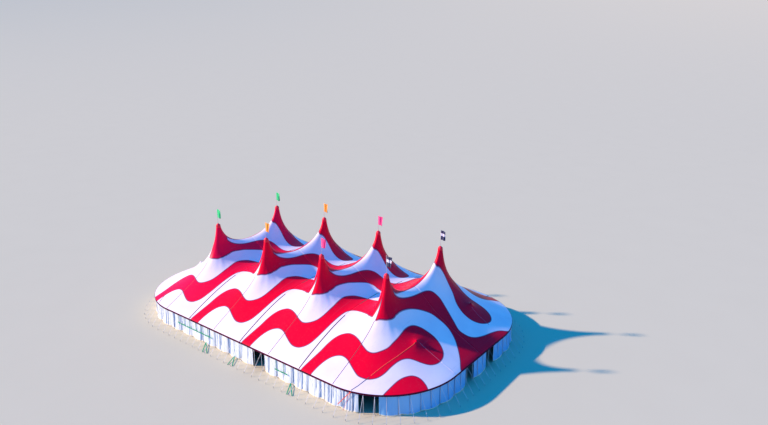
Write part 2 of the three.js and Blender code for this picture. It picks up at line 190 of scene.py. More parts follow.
LEFT_END_RISE = [
    (-29.4, -9.8), (-31, -9.8), (-34, -7), (-36.5, -5), (-39, -3), (-42, -1.5), (-45, -2),
    (-50, -4), (-51, 0), (-50.5, 2), (-46, 5), (-43, 6), (-40.8, 6.2), (-39.4, 8), (-39, 10.5),
]
LEFT_CAP = [
    (-27, -12), (-27.6, -13.8), (-28.7, -14.7), (-29.7, -15.0), (-30.2, -14.8), (-30.4, -14.1),
    (-30.55, -13.5), (-30.75, -12.8), (-31.0, -12.1), (-31.3, -11.2), (-31.1, -10.1), (-30.2, -9.2),
    (-29.2, -9.2), (-27.6, -9.8),
]
WHITE_WEDGE = [  # white between a king pole's red and the stripe that comes up to it
    (30.2, -15.6), (30.15, -14.35), (30.1, -13.45), (30.05, -12.9), (29.85, -13.45),
    (29.55, -14.15), (29.2, -14.85), (28.7, -15.7),
]
CAP_R = 1.1  # every peak is red this far round its king pole
REPEATS = (0, -20, -40)  # the pattern repeats from bay to bay


def smooth_loop(points, steps=5):
    """Closed smooth curve through plan points of the real tent, as points of the model."""
    p = np.array(points) * REAL
    a, b, c, d = np.roll(p, 1, 0), p, np.roll(p, -1, 0), np.roll(p, -2, 0)
    runs = []
    for t in np.arange(steps) / steps:
        curve = 2 * b + (c - a) * t + (2 * a - 5 * b + 4 * c - d) * t**2
        runs.append((curve + (3 * b - a - 3 * c + d) * t**3) / 2)
    return np.stack(runs, 1).reshape(-1, 2)


def red_loops():
    rise = RISE_LEFT + BACK_BAND + RISE_RIGHT
    loops = [END_BAND, END_FRONT_BAND, END_LOBE, LEFT_CAP, CORNER_LOBE, turned(CORNER_LOBE)]
    for dx in REPEATS:
        loops += [shifted(FRONT_BAND, dx), shifted(rise, dx), shifted(RIDGE_LOBE, dx)]
    loops.append(LEFT_END_RISE + shifted(BACK_BAND, -60) + [(-29.5, -6)])
    return [smooth_loop(loop) for loop in loops]


def inside_loop(x, y, loop):
    """Distance inside a closed plan curve, negative outside and cut off far from it."""
    far = 0.2
    depth = np.full(len(x), -far)
    low, high = loop.min(0) - far, loop.max(0) + far
    near = (x > low[0]) & (x < high[0]) & (y > low[1]) & (y < high[1])
    px, py = x[near], y[near]
    best = np.full(len(px), far**2)
    inside = np.zeros(len(px), bool)
    for (ax, ay), (bx, by) in zip(loop, np.roll(loop, -1, 0)):
        dx, dy = bx - ax, by - ay
        t = np.clip(((px - ax) * dx + (py - ay) * dy) / (dx * dx + dy * dy + 1e-12), 0, 1)
        best = np.minimum(best, (px - ax - t * dx) ** 2 + (py - ay - t * dy) ** 2)
        if ay != by:
            inside ^= ((ay > py) != (by > py)) & (px < ax + (py - ay) * dx / dy)
    depth[near] = np.where(inside, 1, -1) * np.sqrt(best)
    return depth


LOOPS = red_loops()


def redness(x, y):
    """How far a plan point is inside the red of the canopy, in metres, negative in the white."""
    depth = np.full(len(x), -1.0)
    for loop in LOOPS:
        depth = np.maximum(depth, inside_loop(x, y, loop))
    for dx in REPEATS:
        for wedge in (shifted(WHITE_WEDGE, dx), turned(shifted(WHITE_WEDGE, dx))):
            depth = np.minimum(depth, -inside_loop(x, y, np.array(wedge) * REAL))
    for _, _, px, py in KING_POLES:
        depth = np.maximum(depth, CAP_R * REAL - np.hypot(x - px, y - py))
    return depth


# The membrane


def inside_eave(x, y):
    dx = np.abs(x) - HALF_LENGTH
    dy = np.abs(y) - HALF_ROW
    return CORNER - np.hypot(np.maximum(dx, 0), np.maximum(dy, 0)) - np.minimum(np.maximum(dx, dy), 0)


def relax_membrane():
    """Heights of one quarter of the canopy on a grid of cells: each free point settles at the
    mean of its neighbours, weighted by tension, as the frame's canopy does."""
    across = math.ceil((HALF_LENGTH + CORNER) / CELL) + 1
    up = math.ceil(EAVE_Y / CELL) + 1
    gx, gy = np.meshgrid(np.arange(across + 1) * CELL, np.arange(up + 1) * CELL)
    ring_gap = np.minimum(np.hypot(gx - BAY / 2, gy - HALF_ROW), np.hypot(gx - HALF_LENGTH, gy - HALF_ROW))
    inside = inside_eave(gx, gy)
    free = (inside > 0) & (ring_gap > RING_R)
    z = np.where(free, 2 * EAVE_Z, EAVE_Z)
    z[ring_gap <= RING_R] = RING_Z
    held = (round(END_QUARTER[1] / CELL), round(END_QUARTER[0] / CELL))
    z[held] = END_QUARTER_Z
    free[held] = False
    outer = 1 / (1 + np.exp((HALF_ROW - gy) / PULL_BLEND))
    along = PULL_MIDDLE + (PULL_OUTER - PULL_MIDDLE) * outer
    over = 1 / along
    ease = (EASE * CELL) ** 2
    whole = 2 * along + 2 * over + ease
    chequer = np.add.outer(np.arange(up + 1), np.arange(across + 1)) % 2
    turns = [free & (chequer == colour) for colour in (0, 1)]
    for _ in range(SWEEPS):
        for turn in turns:
            sides = np.pad(z, 1, mode="reflect")
            mean = along * (sides[1:-1, :-2] + sides[1:-1, 2:])
            mean += over * (sides[:-2, 1:-1] + sides[2:, 1:-1])
            mean = (mean + ease * EASE_Z) / whole
            z += np.where(turn, OVERSHOOT * (mean - z), 0)
    # the slope runs on past the eave, so that the surface stays smooth up to it
    past = np.argwhere((inside <= 0) & (inside > -3 * CELL))
    for j, i in past:
        x, y = i * CELL, j * CELL
        nx, ny = max(x - HALF_LENGTH, 0), max(y - HALF_ROW, 0)
        size = max(math.hypot(nx, ny), 1e-9)
        step = 2 * max(-inside[j, i], CELL)
        back = (x - nx / size * step, y - ny / size * step)
        rise = z[min(round(back[1] / CELL), up), min(round(back[0] / CELL), across)] - EAVE_Z
        slope = rise / max(float(inside_eave(*np.array(back))), CELL)
        z[j, i] = EAVE_Z + slope * inside[j, i]
    return z


FIELD = relax_membrane()


def field_height(x, y):
    """The height field between its grid points, smoothly."""
    u, v = np.abs(x) / CELL, np.abs(y) / CELL
    i, j = np.floor(u).astype(int), np.floor(v).astype(int)

    def weights(t):
        yield ((2 - t) * t - 1) * t / 2
        yield ((3 * t - 5) * t * t + 2) / 2
        yield ((4 - 3 * t) * t + 1) * t / 2
        yield (t - 1) * t * t / 2

    total = np.zeros(np.shape(u))
    for dj, wy in zip((-1, 0, 1, 2), weights(v - j)):
        for di, wx in zip((-1, 0, 1, 2), weights(u - i)):
            row = np.minimum(np.abs(j + dj), FIELD.shape[0] - 1)
            column = np.minimum(np.abs(i + di), FIELD.shape[1] - 1)
            total += wy * wx * FIELD[row, column]
    return total


def canopy_top(x, y):
    """Height of the canopy's upper face over plan points."""
    x, y = np.asarray(x, float), np.asarray(y, float)
    height = field_height(x, y)
    for mast in (BAY / 2, HALF_LENGTH):
        dx, dy = np.abs(x) - mast, np.abs(y) - HALF_ROW
        reach = np.maximum(np.hypot(dx, dy), 1e-6)
        foot = field_height(mast + dx * CONE_R / reach, HALF_ROW + dy * CONE_R / reach)
        fall = np.log(np.maximum(reach, RING_R) / RING_R) / math.log(CONE_R / RING_R)
        height = np.where(reach < CONE_R, RING_Z + (foot - RING_Z) * fall, height)
    return np.where(inside_eave(x, y) < 1e-4, EAVE_Z, np.maximum(EAVE_Z, height))


def tension_folds(x, y):
    """Shallow folds that run out from the king poles and die away before the eave."""
    lift = np.zeros(np.shape(x))
    for _, _, px, py in KING_POLES:
        dx, dy = x - px, y - py
        reach, angle = np.hypot(dx, dy), np.arctan2(dy, dx)
        strength = np.exp(-(((reach - FOLD_REACH) / FOLD_SPREAD) ** 2))
        strength *= np.clip((reach - RING_R) / 0.1, 0, 1)
        bay, side = px / BAY, math.copysign(1, py)
        wave = np.sin(11 * angle + bay * 7) + 0.6 * np.sin(19 * angle + bay * 3 + side)
        lift += FOLD_RISE * strength * wave
    return lift * np.clip(inside_eave(x, y) / 0.2, 0, 1)


def skin_height(x, y):
    return canopy_top(x, y) + tension_folds(x, y)


# Round the eave


def around(s, inwards=0.0):
    """Plan points s side pole bays round the eave from the front left, moved inwards."""
    s = np.asarray(s, float) % (2 * HALF_ROUND)
    flip = np.where(s >= HALF_ROUND, -1.0, 1.0)
    s = s % HALF_ROUND
    part = lambda start, bays: np.clip((s - start) / bays, 0, 1)
    cx = -HALF_LENGTH + 2 * HALF_LENGTH * part(0, STRAIGHT_BAYS)
    cy = -HALF_ROW + ROW * part(STRAIGHT_BAYS + ARC_BAYS, END_BAYS)
    quarter_turns = part(STRAIGHT_BAYS, ARC_BAYS) + part(STRAIGHT_BAYS + ARC_BAYS + END_BAYS, ARC_BAYS)
    angle = (quarter_turns - 1) * math.pi / 2
    nx, ny = np.cos(angle), np.sin(angle)
    x = cx + nx * (CORNER - inwards)
    y = cy + ny * (CORNER - inwards)
    return flip * x, flip * y, flip * nx, flip * ny


def at_station(s, outwards, z):
    x, y, _, _ = around(s, -outwards)
    return Vector((float(x), float(y), z))


DOORWAYS = DOORS + [(a + HALF_ROUND, b + HALF_ROUND) for a, b in DOORS]


def wall_joints():
    """(end of the wall before, joint of the poles, start of the wall after) of each joint."""
    joints = [(a, math.floor((a + b) / 2) + 0.5, b) for a, b in DOORWAYS]
    joints.insert(4, (WALL_JOINT,) * 3)
    joints.append((WALL_JOINT + HALF_ROUND,) * 3)
    joints.append(tuple(s + 2 * HALF_ROUND for s in joints[0]))
    return joints


JOINTS = wall_joints()


# Making pieces


def linear(code):
    """An sRGB hex colour as linear red, green and blue."""
    parts = [int(code[i : i + 2], 16) / 255 for i in (0, 2, 4)]
    return tuple(c / 12.92 if c <= 0.04045 else ((c + 0.055) / 1.055) ** 2.4 for c in parts)


def sheet_grid(bm, columns, rows, place):
    """Adds a grid of columns by rows faces whose corner at (u, v), each 0 to 1, goes to place(u, v)."""
    corners = bmesh.ops.create_grid(bm, x_segments=columns, y_segments=rows, size=0.5)["verts"]
    flat = np.array([v.co[:2] for v in corners], float)
    flat = (flat - flat.min(0)) / (flat.max(0) - flat.min(0))
    u, v = np.round(flat[:, 0] * columns) / columns, np.round(flat[:, 1] * rows) / rows
    for corner, spot in zip(corners, np.stack(place(u, v), 1)):
        corner.co = spot


def tube(columns, sides, place):
    """A mesh of a tube whose grid runs along it and round it, closed at both ends."""
    bm = bmesh.new()
    sheet_grid(bm, columns, sides, place)
    bmesh.ops.remove_doubles(bm, verts=bm.verts, dist=1e-5)
    bmesh.ops.holes_fill(bm, edges=bm.edges, sides=12)
    bmesh.ops.recalc_face_normals(bm, faces=bm.faces)
    return bm


def bar(bm, a, b, width, depth=None, across=UP):
    """Adds a bar from a to b, depth thick along across."""
    a, b = Vector(a), Vector(b)
    along = (b - a).normalized()
    if abs(along.dot(across)) > 0.99:
        across = Vector((1, 0, 0))
    thick = (across - along * across.dot(along)).normalized()
    wide = thick.cross(along)
    turn = Matrix((wide, thick, along)).transposed().to_4x4()
    size = Matrix.Diagonal((width, depth or width, (b - a).length, 1))
    place = Matrix.Translation((a + b) / 2) @ turn @ size
    return bmesh.ops.create_cube(bm, size=1, matrix=place)["verts"]


def rod(bm, a, b, radius, sides=8, radius_top=None):
    """Adds a round rod from a to b."""
    turn = (b - a).to_track_quat("Z", "Y").to_matrix().to_4x4()
    place = Matrix.Translation((a + b) / 2) @ turn
    size = {"radius1": radius, "radius2": radius_top or radius, "depth": (b - a).length}
    bmesh.ops.create_cone(bm, cap_ends=True, segments=sides, matrix=place, **size)


def bolts(bm, foot, count, reach, z, radius, start=0.0):
    """Adds bolt heads in a circle on a foot plate."""
    for n in range(count):
        turn = start + n * 2 * math.pi / count
        bolt = foot + Vector((reach * math.cos(turn), reach * math.sin(turn), z))
        rod(bm, bolt, bolt + UP * 0.004, radius, 6)


def turned_shape(bm, profile, foot, sides=24):
    """Adds a shape turned about the upright through foot, from (radius, height) points."""
    start = [bm.verts.new(Vector((r, 0, z)) + foot) for r, z in profile]
    edges = [bm.edges.new(pair) for pair in zip(start, start[1:])]
    turn = {"cent": foot, "axis": UP, "angle": 2 * math.pi, "steps": sides}
    bmesh.ops.spin(bm, geom=start + edges, use_merge=True, **turn)
    spots = {v for e in bm.edges for v in e.verts if (v.co.xy - foot.xy).length < 1e-5}
    bmesh.ops.remove_doubles(bm, verts=list(spots), dist=1e-5)


def finish_piece(name, bm, materials, replaced=(), smooth=True):
    """Makes a bmesh an object that rides on the tent and stands for CAD nodes."""
    mesh = bpy.data.meshes.new(name)
    for face in bm.faces:
        face.smooth = smooth
    bm.to_mesh(mesh)
    bm.free()
    for material in materials:
        mesh.materials.append(material)
    piece = bpy.data.objects.new(name, mesh)
    bpy.context.scene.collection.objects.link(piece)
    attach(piece, "root")
    if replaced:
        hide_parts(*replaced)
    return piece


def thicken(piece, thickness, offset=-1.0, inner=0):
    """Gives a sheet its thickness, with another of its materials on the inner face."""
    solid = piece.modifiers.new("thickness", "SOLIDIFY")
    solid.thickness = thickness
    solid.offset = offset
    solid.material_offset = inner


def write_values(piece, name, values):
    """Stores a number at each vertex, which the piece's material reads."""
    layer = piece.data.attributes.new(name, "FLOAT", "POINT")
    layer.data.foreach_set("value", np.asarray(values, np.float32))


def vertex_points(piece):
    flat = np.empty(len(piece.data.vertices) * 3)
    piece.data.vertices.foreach_get("co", flat)
    return flat.reshape(-1, 3)


def face_upwards(bm):
    bmesh.ops.recalc_face_normals(bm, faces=bm.faces)
    if sum(f.normal.z * f.calc_area() for f in bm.faces) < 0:
        bmesh.ops.reverse_faces(bm, faces=bm.faces)


# Materials

# Sockets of a Mix node that mixes colours
FACTOR, FIRST, SECOND, RESULT = 0, 6, 7, 2


def set_inputs(node, links):
    """Sets each input of a node to a value, or links it from another node's socket."""
    for key, value in links.items():
        socket = node.inputs[key]
        if isinstance(value, bpy.types.NodeSocket):
            node.id_data.links.new(value, socket)
        else:
            socket.default_value = (*value[:3], 1) if socket.type == "RGBA" else value


def add_node(tree, kind, links, **settings):
    """Adds a shader node with its settings and links, and gives its outputs."""
    made = tree.nodes.new(f"ShaderNode{kind}")
    for key, value in settings.items():
        setattr(made, key, value)
    set_inputs(made, links)
    return made.outputs


def start_material(name, noises=(), attributes=(), **sockets):
    """A material, the function that adds nodes to it and its Object coordinates; then a noise for
    each (scale, detail, and how far it is drawn out in Z), and the value of each attribute."""
    material = bpy.data.materials.new(name)
    material.use_nodes = True
    shader = material.node_tree.nodes["Principled BSDF"]
    set_inputs(shader, {key.replace("_", " "): value for key, value in sockets.items()})
    add = functools.partial(add_node, material.node_tree)
    place = add("TexCoord", {})["Object"]
    values = []
    for scale, detail, *tall in noises:
        spot = add("Mapping", {"Vector": place, "Scale": (1, 1, *tall)})["Vector"] if tall else place
        values.append(add("TexNoise", {"Vector": spot, "Scale": scale, "Detail": detail})["Fac"])
    values += [add("Attribute", {}, attribute_name=key)["Fac"] for key in attributes]
    return material, add, place, *values


def layered(add, colour, *layers):
    """Lays tones over a colour in turn, each by its value, from least at low to most at high."""
    for value, low, high, least, most, tone in layers:
        steps = {"From Min": low, "From Max": high, "To Min": least, "To Max": most}
        part = add("MapRange", {"Value": value, **steps})["Result"]
        colour = add("Mix", {FACTOR: part, FIRST: colour, SECOND: tone}, data_type="RGBA")[RESULT]
    return colour


def finish_material(material, colour, relief=None, rough=None):
    """Gives a material its colour, its relief (height, strength, distance) and, from rough
    (value, smooth, dull), a roughness between smooth and dull that follows value."""
    tree = material.node_tree
    links = {"Base Color": colour}
    if relief:
        steps = dict(zip(("Height", "Strength", "Distance"), relief))
        links["Normal"] = add_node(tree, "Bump", steps)["Normal"]
    if rough:
        value, smooth, dull = rough
        steps = {"Value": value, "From Min": 0.3, "From Max": 0.7, "To Min": smooth, "To Max": dull}
        links["Roughness"] = add_node(tree, "MapRange", steps)["Result"]
    set_inputs(tree.nodes["Principled BSDF"], links)
    return material


def striped_canopy_fabric(look):
    """PVC-coated polyester, stripes printed in the coating and panels welded edge to edge: satin,
    clean colours with crisp wavy edges, faint grime in small spots, and a
    weld every two and a half metres of the real cloth. Its weave is drawn 2.6 millimetres apart,
    coarser than life, so that it shows."""
    material, add, place, cloud, fine, swell, depth, weld, inside = start_material(
        "coated_canopy_fabric", [(1.6, 4), (22, 3), (5, 3)], ("redness", "weld", "inside"),
        Roughness=0.32, Specular_IOR_Level=0.06,
    )
    along = add("SeparateXYZ", {0: place})["X"]
    edge = add("Math", {0: depth}, operation="ABSOLUTE")[0]
    # the reds turn pinker towards the left end
    reds = layered(
        add, look.red, (cloud, 0, 1, 0, 1, look.red_deep), (along, -4.6, -1.2, 1, 0, look.red_towards_left_end)
    )
    colour = layered(
        add,
        look.white,
        (cloud, 0.35, 0.75, 0, 1, look.white_worn),
        (depth, -0.0012, 0.0012, 0, 1, reds),
        (edge, 0.008, 0.018, look.edge_print, 0, linear("5A0444")),
        (weld, 0.0015, 0.005, 0.22, 0, linear("9A7C90")),
        (fine, 0.55, 0.8, 0, 0.05, linear("8A8078")),
        (inside, 0.008, 0.010, 1, 0, look.band),
    )
    weave = add("TexWave", {"Vector": place, "Scale": 120, "Distortion": 0.4})["Fac"]
    height = add("Math", {0: weave, 1: 0.05, 2: swell}, operation="MULTIPLY_ADD")[0]
    return finish_material(material, colour, (height, 0.25, 0.006), (fine, 0.28, 0.36))


def valance_fabric(look):
    """Heavy coated border band: dark maroon, with pale eyelets every 12 centimetres of the real
    cloth drawn twice as far apart so that they show."""
    material, add, _, patch, grain, run, drop = start_material(
        "coated_border_band", [(9, 3), (60, 3)], ("along", "drop"), Roughness=0.6, Specular_IOR_Level=0.1
    )
    step = add("Math", {0: run, 1: 0.0125}, operation="PINGPONG")[0]
    fall = add("Math", {0: drop, 1: 0.006}, operation="SUBTRACT")[0]
    reach = add("CombineXYZ", {"X": step, "Y": fall})[0]
    gap = add("VectorMath", {0: reach}, operation="LENGTH")["Value"]
    eyelets = (gap, 0.0022, 0.003, 1, 0, linear("8A3A52"))
    colour = layered(add, look.band, (patch, 0, 1, 0, 1, look.band_worn), eyelets)
    return finish_material(material, colour, (grain, 0.3, 0.002))


def blackout_lining(look):
    """Near-black painted shade on the inner faces of the canopy and the curtains, standing for the dark
    inside of the tent: matt.
    """
    material, add, _, patch, grain = start_material("blackout_lining", [(3, 3), (12, 3)], Roughness=0.8)
    coat = layered(add, look.lining, (patch, 0, 1, 0, 1, tuple(c * 1.5 for c in look.lining)))
    return finish_material(material, coat, (grain, 0.3, 0.004))


def coated_cap_fabric(look):
    """Red coated cloth sewn in gores over the lifting ring: satin, uneven where it is worn."""
    material, add, _, patch, grain = start_material("coated_cap_fabric", [(14, 3), (60, 3)], Roughness=0.45)
    cloth = layered(add, look.red, (patch, 0, 1, 0, 1, look.red_deep))
    return finish_material(material, cloth, (grain, 0.25, 0.001))


def wall_fabric(look, name, white, white_cool):
    """Pale blue-white coated curtain, welded from upright strips: satin, with painted shade deep in
    its folds and, in the same tint, on the welds where the smooth curtains crease at each side pole; a
    bright hem and splashed soil along the foot."""
    noises = [(4, 4, 0.35), (18, 4, 0.3), (40, 3)]
    material, add, place, patches, grain, splash, fold, station, rise = start_material(
        name, noises, ("fold", "station", "rise"), Roughness=0.48
    )
    height = add("SeparateXYZ", {0: place})["Z"]
    seam = add("Math", {0: station, 1: 0.5}, operation="PINGPONG")[0]
    soil = add("MapRange", {"Value": height, "From Max": 0.05, "To Min": 0.25, "To Max": 0})["Result"]
    spots = add("MapRange", {"Value": splash, "From Min": 0.4, "From Max": 0.65})["Result"]
    spots = add("Math", {0: soil, 1: spots}, operation="MULTIPLY")[0]
    colour = layered(
        add,
        white,
        (patches, 0, 1, 0, 1, white_cool),
        # painted shade: darker blue deep in the folds, and the same tint on the welds where the smooth
        # curtains crease
        (fold, 0.3, 0.9, 0, look.painted_fold_shade_share, look.painted_fold_shade),
        (seam, 0.012, 0.035, look.painted_fold_shade_share, 0, look.painted_fold_shade),
        (rise, 0.035, 0.045, 0.95, 0, look.hem),
        (spots, 0, 1, 0, 1, linear("A89A80")),
    )
    return finish_material(material, colour, (grain, 0.35, 0.006), (patches, 0.42, 0.55))


def webbing(name, colour, worn):
    """Woven polyester webbing: matt, a fine cross rib every 2 millimetres drawn 5 apart."""
    material, add, place, wear = start_material(name, [(12, 3)], Roughness=0.75)
    ribs = add("TexWave", {"Vector": place, "Scale": 60}, bands_direction="Z")["Fac"]
    return finish_material(material, layered(add, colour, (wear, 0, 1, 0, 1, worn)), (ribs, 0.3, 0.001))


def galvanised_steel(name):
    """Hot-dip galvanised tube: dull grey with pale spangle patches and rougher streaks."""
    noises = [(30, 4), (140, 2)]
    material, add, place, streaks, grain = start_material(name, noises, Roughness=0.42, Metallic=0.85)
    spangle = add("TexVoronoi", {"Vector": place, "Scale": 90})["Distance"]
    colour = layered(add, linear("C4C9CC"), (spangle, 0, 0.7, 0, 1, linear("8E959A")))
    return finish_material(material, colour, (grain, 0.15, 0.001), (streaks, 0.34, 0.6))


def painted_steel(name, colour, worn):
    """Steel in satin paint, sprayed: slightly uneven, chipped to primer in small spots."""
    noises = [(150, 2), (25, 3), (50, 3), (90, 2)]
    material, add, _, chips, patch, streaks, grain = start_material(name, noises, Roughness=0.4)
    primer = (chips, 0.66, 0.7, 0, 1, linear("6E6A66"))
    colour = layered(add, colour, (patch, 0, 1, 0, 1, worn), primer)
    return finish_material(material, colour, (grain, 0.08, 0.001), (streaks, 0.32, 0.5))


def flag_cloth(name, colour, faded, stripe):
    """Knitted flag polyester: matt with a soft sheen, faded in soft bands. The dark flags have
    one pale stripe across the middle, which gives the eye a light gap in the dark cloth."""
    material, add, place, fade, rise = start_material(
        name, [(9, 2, 0.4)], ["rise"], Roughness=0.7, IOR=1.45, Sheen_Weight=0.2
    )
    weave = add("TexWave", {"Vector": place, "Scale": 150}, bands_direction="Z")["Fac"]
    middle = add("Math", {0: rise, 1: 0.56, 2: 0.14}, operation="COMPARE")[0]
    colour = layered(add, colour, (fade, 0, 1, 0, 1, faded), (middle, 0, 1, 0, 1, stripe))
    return finish_material(material, colour, (weave, 0.2, 0.0008))


# Sizes and colours a user would change


def number(name, description, default, **more):
    return bpy.props.FloatProperty(name=name, description=description, default=default, **more)


def metres(name, description, default):
    return number(name, description, default, min=0, max=10, unit="LENGTH", precision=4)


def share(name, description, default):
    return number(name, description, default, min=0, max=1, subtype="FACTOR")


def angle(name, description, degrees):
    return number(name, description, math.radians(degrees), subtype="ANGLE")


def hue(name, description, code):
    return bpy.props.FloatVectorProperty(
        name=name, description=description, default=linear(code), subtype="COLOR", size=3, min=0, max=1
    )


class BigTopCanopy(bpy.types.PropertyGroup):
    skin: metres("Skin", "Thickness of the canopy's cloth", 0.003)
    red: hue("Red", "Red of the stripes", "F8022E")
    red_deep: hue("Deep red", "Red where the cloth is worn", "E80030")
    # a pinker red towards the left end of the canopy
    red_towards_left_end: hue("Faded red", "Red of the older cloth at the left end", "F40E50")
    white: hue("White", "White of the stripes", "F4E4EC")
    white_worn: hue("Worn white", "White where the cloth is worn", "E8D6E2")
    band: hue("Border band", "Maroon of the band along the eave", "420226")
    band_worn: hue("Worn border band", "Maroon where it is worn", "52062E")
    edge_print: share("Edge print", "Darkness of the printed edge between red and white", 0.75)
    # painted shade: near-black colour of the inner faces, standing for the dark inside of the tent
    lining: hue("Lining", "Dark coat on the underside", "23262E")
    lacing_width: metres("Lacing", "Width of the laced joints", 0.026)
    strap_width: metres("Straps", "Width of the webbing sewn on the canopy", 0.014)


class BigTopWalls(bpy.types.PropertyGroup):
    skin: metres("Skin", "Thickness of the wall curtain", 0.002)
    fold_depth: metres("Folds", "Depth of the curtain's folds", 0.012)
    belly: metres("Belly", "How far the foot blows out between its ties", 0.034)
    scallop: metres("Scallop", "Distance between the ties along the foot", 0.49)
    white: hue("White", "White of the curtains", "E8F0F6")
    white_cool: hue("Cool white", "White where the curtain is thin", "D2E2F0")
    # painted shade: a bluer copy of the curtain's white for the curtains round the right end, which lie in
    # shade
    blue: hue("Blue", "Blue of the curtains round the right end", "84C4EC")
    painted_shade_copy_worn: hue("Worn blue", "Blue where they are worn", "74B4E4")
    # painted shade: the tint the folds get, and how strongly
    painted_fold_shade: hue("Fold tint", "Colour deep in the folds", "2E68A4")
    painted_fold_shade_share: share("Fold tint share", "How strongly the folds are tinted", 0.8)
    hem: hue("Hem rope", "Cream of the rope in the hem", "FFF6DC")


class BigTopRigging(bpy.types.PropertyGroup):
    pole_radius: metres("Side pole", "Radius of the side poles", 0.005)
    rail_radius: metres("Rail", "Radius of the rail at their heads", 0.004)
    guy_width: metres("Guy", "Width of the guys' webbing", 0.0065)
    stake_radius: metres("Stake", "Radius of the stakes", 0.0045)
    guy_colour: hue("Guys", "Colour of the guys", "D9DADF")
    green: hue("Green straps", "Colour of the ties and spare guys", "00A078")
    red: hue("Red strap", "Colour of the strap near the corner", "E8563C")


class BigTopFlags(bpy.types.PropertyGroup):
    green: hue("Green", "Flags over the first king poles", "1CD47C")
    orange: hue("Orange", "Flags over the second king poles", "FFA42A")
    pink: hue("Pink", "Flags over the third king poles", "FF3A8A")
    navy: hue("Navy", "Flags over the fourth king poles", "1C2450")


class BigTopStage(bpy.types.PropertyGroup):
    sun_strength: number("Key light", "Strength of the key light", 6.5)
    sun_height: angle("Key height", "Height of the key light over the floor", 28.5)
    sun_heading: angle("Key heading", "Direction of the key light in the plan", 216)
    sun_spread: angle("Key spread", "Softness of the key light", 2)
    key: hue("Key colour", "Colour of the key light", "FFDFC4")
    fill: hue("Fill colour", "Colour of the soft fill all round", "1A9EFF")
    fill_strength: number("Fill", "Strength of the soft fill", 1.1)
    floor: hue("Floor", "Colour of the floor", "CEC5AA")
    lens: number("Lens", "Focal length in millimetres", 28.92)


# Canopy

CANOPY_RAYS = 336
CANOPY_RINGS = 60
VALANCE_ROWS = 5
PANEL = 0.25  # from weld to weld
END_REACH = 3.4  # turns an angle at the tent's ends into a length along the eave


def section_legs(outer):
    """Sides of a canopy section in the quarter at +X +Y: a function of 0..1, its length, on the eave."""
    seam = GAP / 2
    left = (BAY if outer else 0) + seam
    right = HALF_LENGTH + CORNER if outer else BAY - seam

    def straight(a, b, on_eave):
        a, b = np.array(a), np.array(b)
        return (lambda t: a + (b - a) * t[:, None]), float(np.hypot(*(b - a))), on_eave

    def corner(t):
        angle = t * math.pi / 2
        return np.stack([HALF_LENGTH + CORNER * np.cos(angle), HALF_ROW + CORNER * np.sin(angle)], 1)

    legs = [straight((left, seam), (right, seam), False)]
    legs.append(straight((right, seam), (right, HALF_ROW if outer else EAVE_Y), outer))
    if outer:
        legs.append((corner, CORNER * math.pi / 2, True))
    legs.append(straight((HALF_LENGTH if outer else right, EAVE_Y), (left, EAVE_Y), True))
    legs.append(straight((left, EAVE_Y), (left, seam), False))
    return legs


def section_rim(outer):
    """Points round a section's edge, and the run of them that lies on the eave, its end included."""
    legs = section_legs(outer)
    whole = sum(length for _, length, _ in legs)
    points, eave = [], []
    for leg, length, on_eave in legs:
        count = max(2, round(CANOPY_RAYS * length / whole))
        run = leg(np.arange(count + 1) / count)
        points.append(run[:-1])
        if on_eave:
            eave.append(run if not eave else run[1:])
    return np.concatenate(points), np.concatenate(eave)


def canopy_section(node, pole_x, pole_y, look, materials):
    """Makes the striped section round one king pole, from its ring to the eave and the valance."""
    sx, sy = math.copysign(1, pole_x), math.copysign(1, pole_y)
    mast = np.array([abs(pole_x), HALF_ROW])
    rim, eave = section_rim(abs(pole_x) > BAY)
    rays = len(rim)
    spread = rim - mast
    ring = mast + spread * (RING_R / np.hypot(spread[:, 0], spread[:, 1]))[:, None]

    def on_canopy(u, v):
        k = np.round(u * rays).astype(int) % rays
        t = ((np.exp(v) - 1) / (math.e - 1))[:, None]
        spot = ring[k] + (rim[k] - ring[k]) * t
        x, y = sx * spot[:, 0], sy * spot[:, 1]
        return x, y, np.where(v == 0, RING_Z, skin_height(x, y))

    def on_valance(u, v):
        k = np.round(u * (len(eave) - 1)).astype(int)
        return sx * eave[k, 0], sy * eave[k, 1], EAVE_Z - VALANCE * v

    bm = bmesh.new()
    sheet_grid(bm, rays, CANOPY_RINGS, on_canopy)
    canopy_faces = len(bm.faces)
    sheet_grid(bm, len(eave) - 1, VALANCE_ROWS, on_valance)
    bm.faces.ensure_lookup_table()
    for face in bm.faces[canopy_faces:]:
        face.material_index = 1
    bmesh.ops.remove_doubles(bm, verts=bm.verts, dist=1e-5)
    face_upwards(bm)
    for edge in bm.edges:
        edge.smooth = len({face.material_index for face in edge.link_faces}) == 1
    piece = finish_piece(f"striped_{node}", bm, materials, [node])
    x, y, z = vertex_points(piece).T
    write_values(piece, "redness", redness(x, y))
    write_values(piece, "weld", np.abs((x / PANEL + 0.5) % 1 - 0.5) * PANEL)
    on_side = np.abs(y) > EAVE_Y - 1e-4
    write_values(piece, "along", np.where(on_side, x, np.arctan2(y, x) * END_REACH))
    write_values(piece, "drop", EAVE_Z - z)
    write_values(piece, "inside", inside_eave(x, y))
    # the underside takes the near-black painted interior shade
    thicken(piece, look.skin, inner=2)
    return piece


class BIGTOP_OT_canopy(bpy.types.Operator):
    """Eight laced sections of the striped canopy, each with its border band"""

    bl_idname = "bigtop.canopy"
    bl_label = "Canopy"

    def execute(self, context):
        look = context.scene.big_top_canopy
        lining = blackout_lining(look)
        materials = [striped_canopy_fabric(look), valance_fabric(look), lining, lining]
        for side, k, x, y in KING_POLES:
            piece = canopy_section(f"canopy_{side}_{k}", x, y, look, materials)
        return {"FINISHED"}


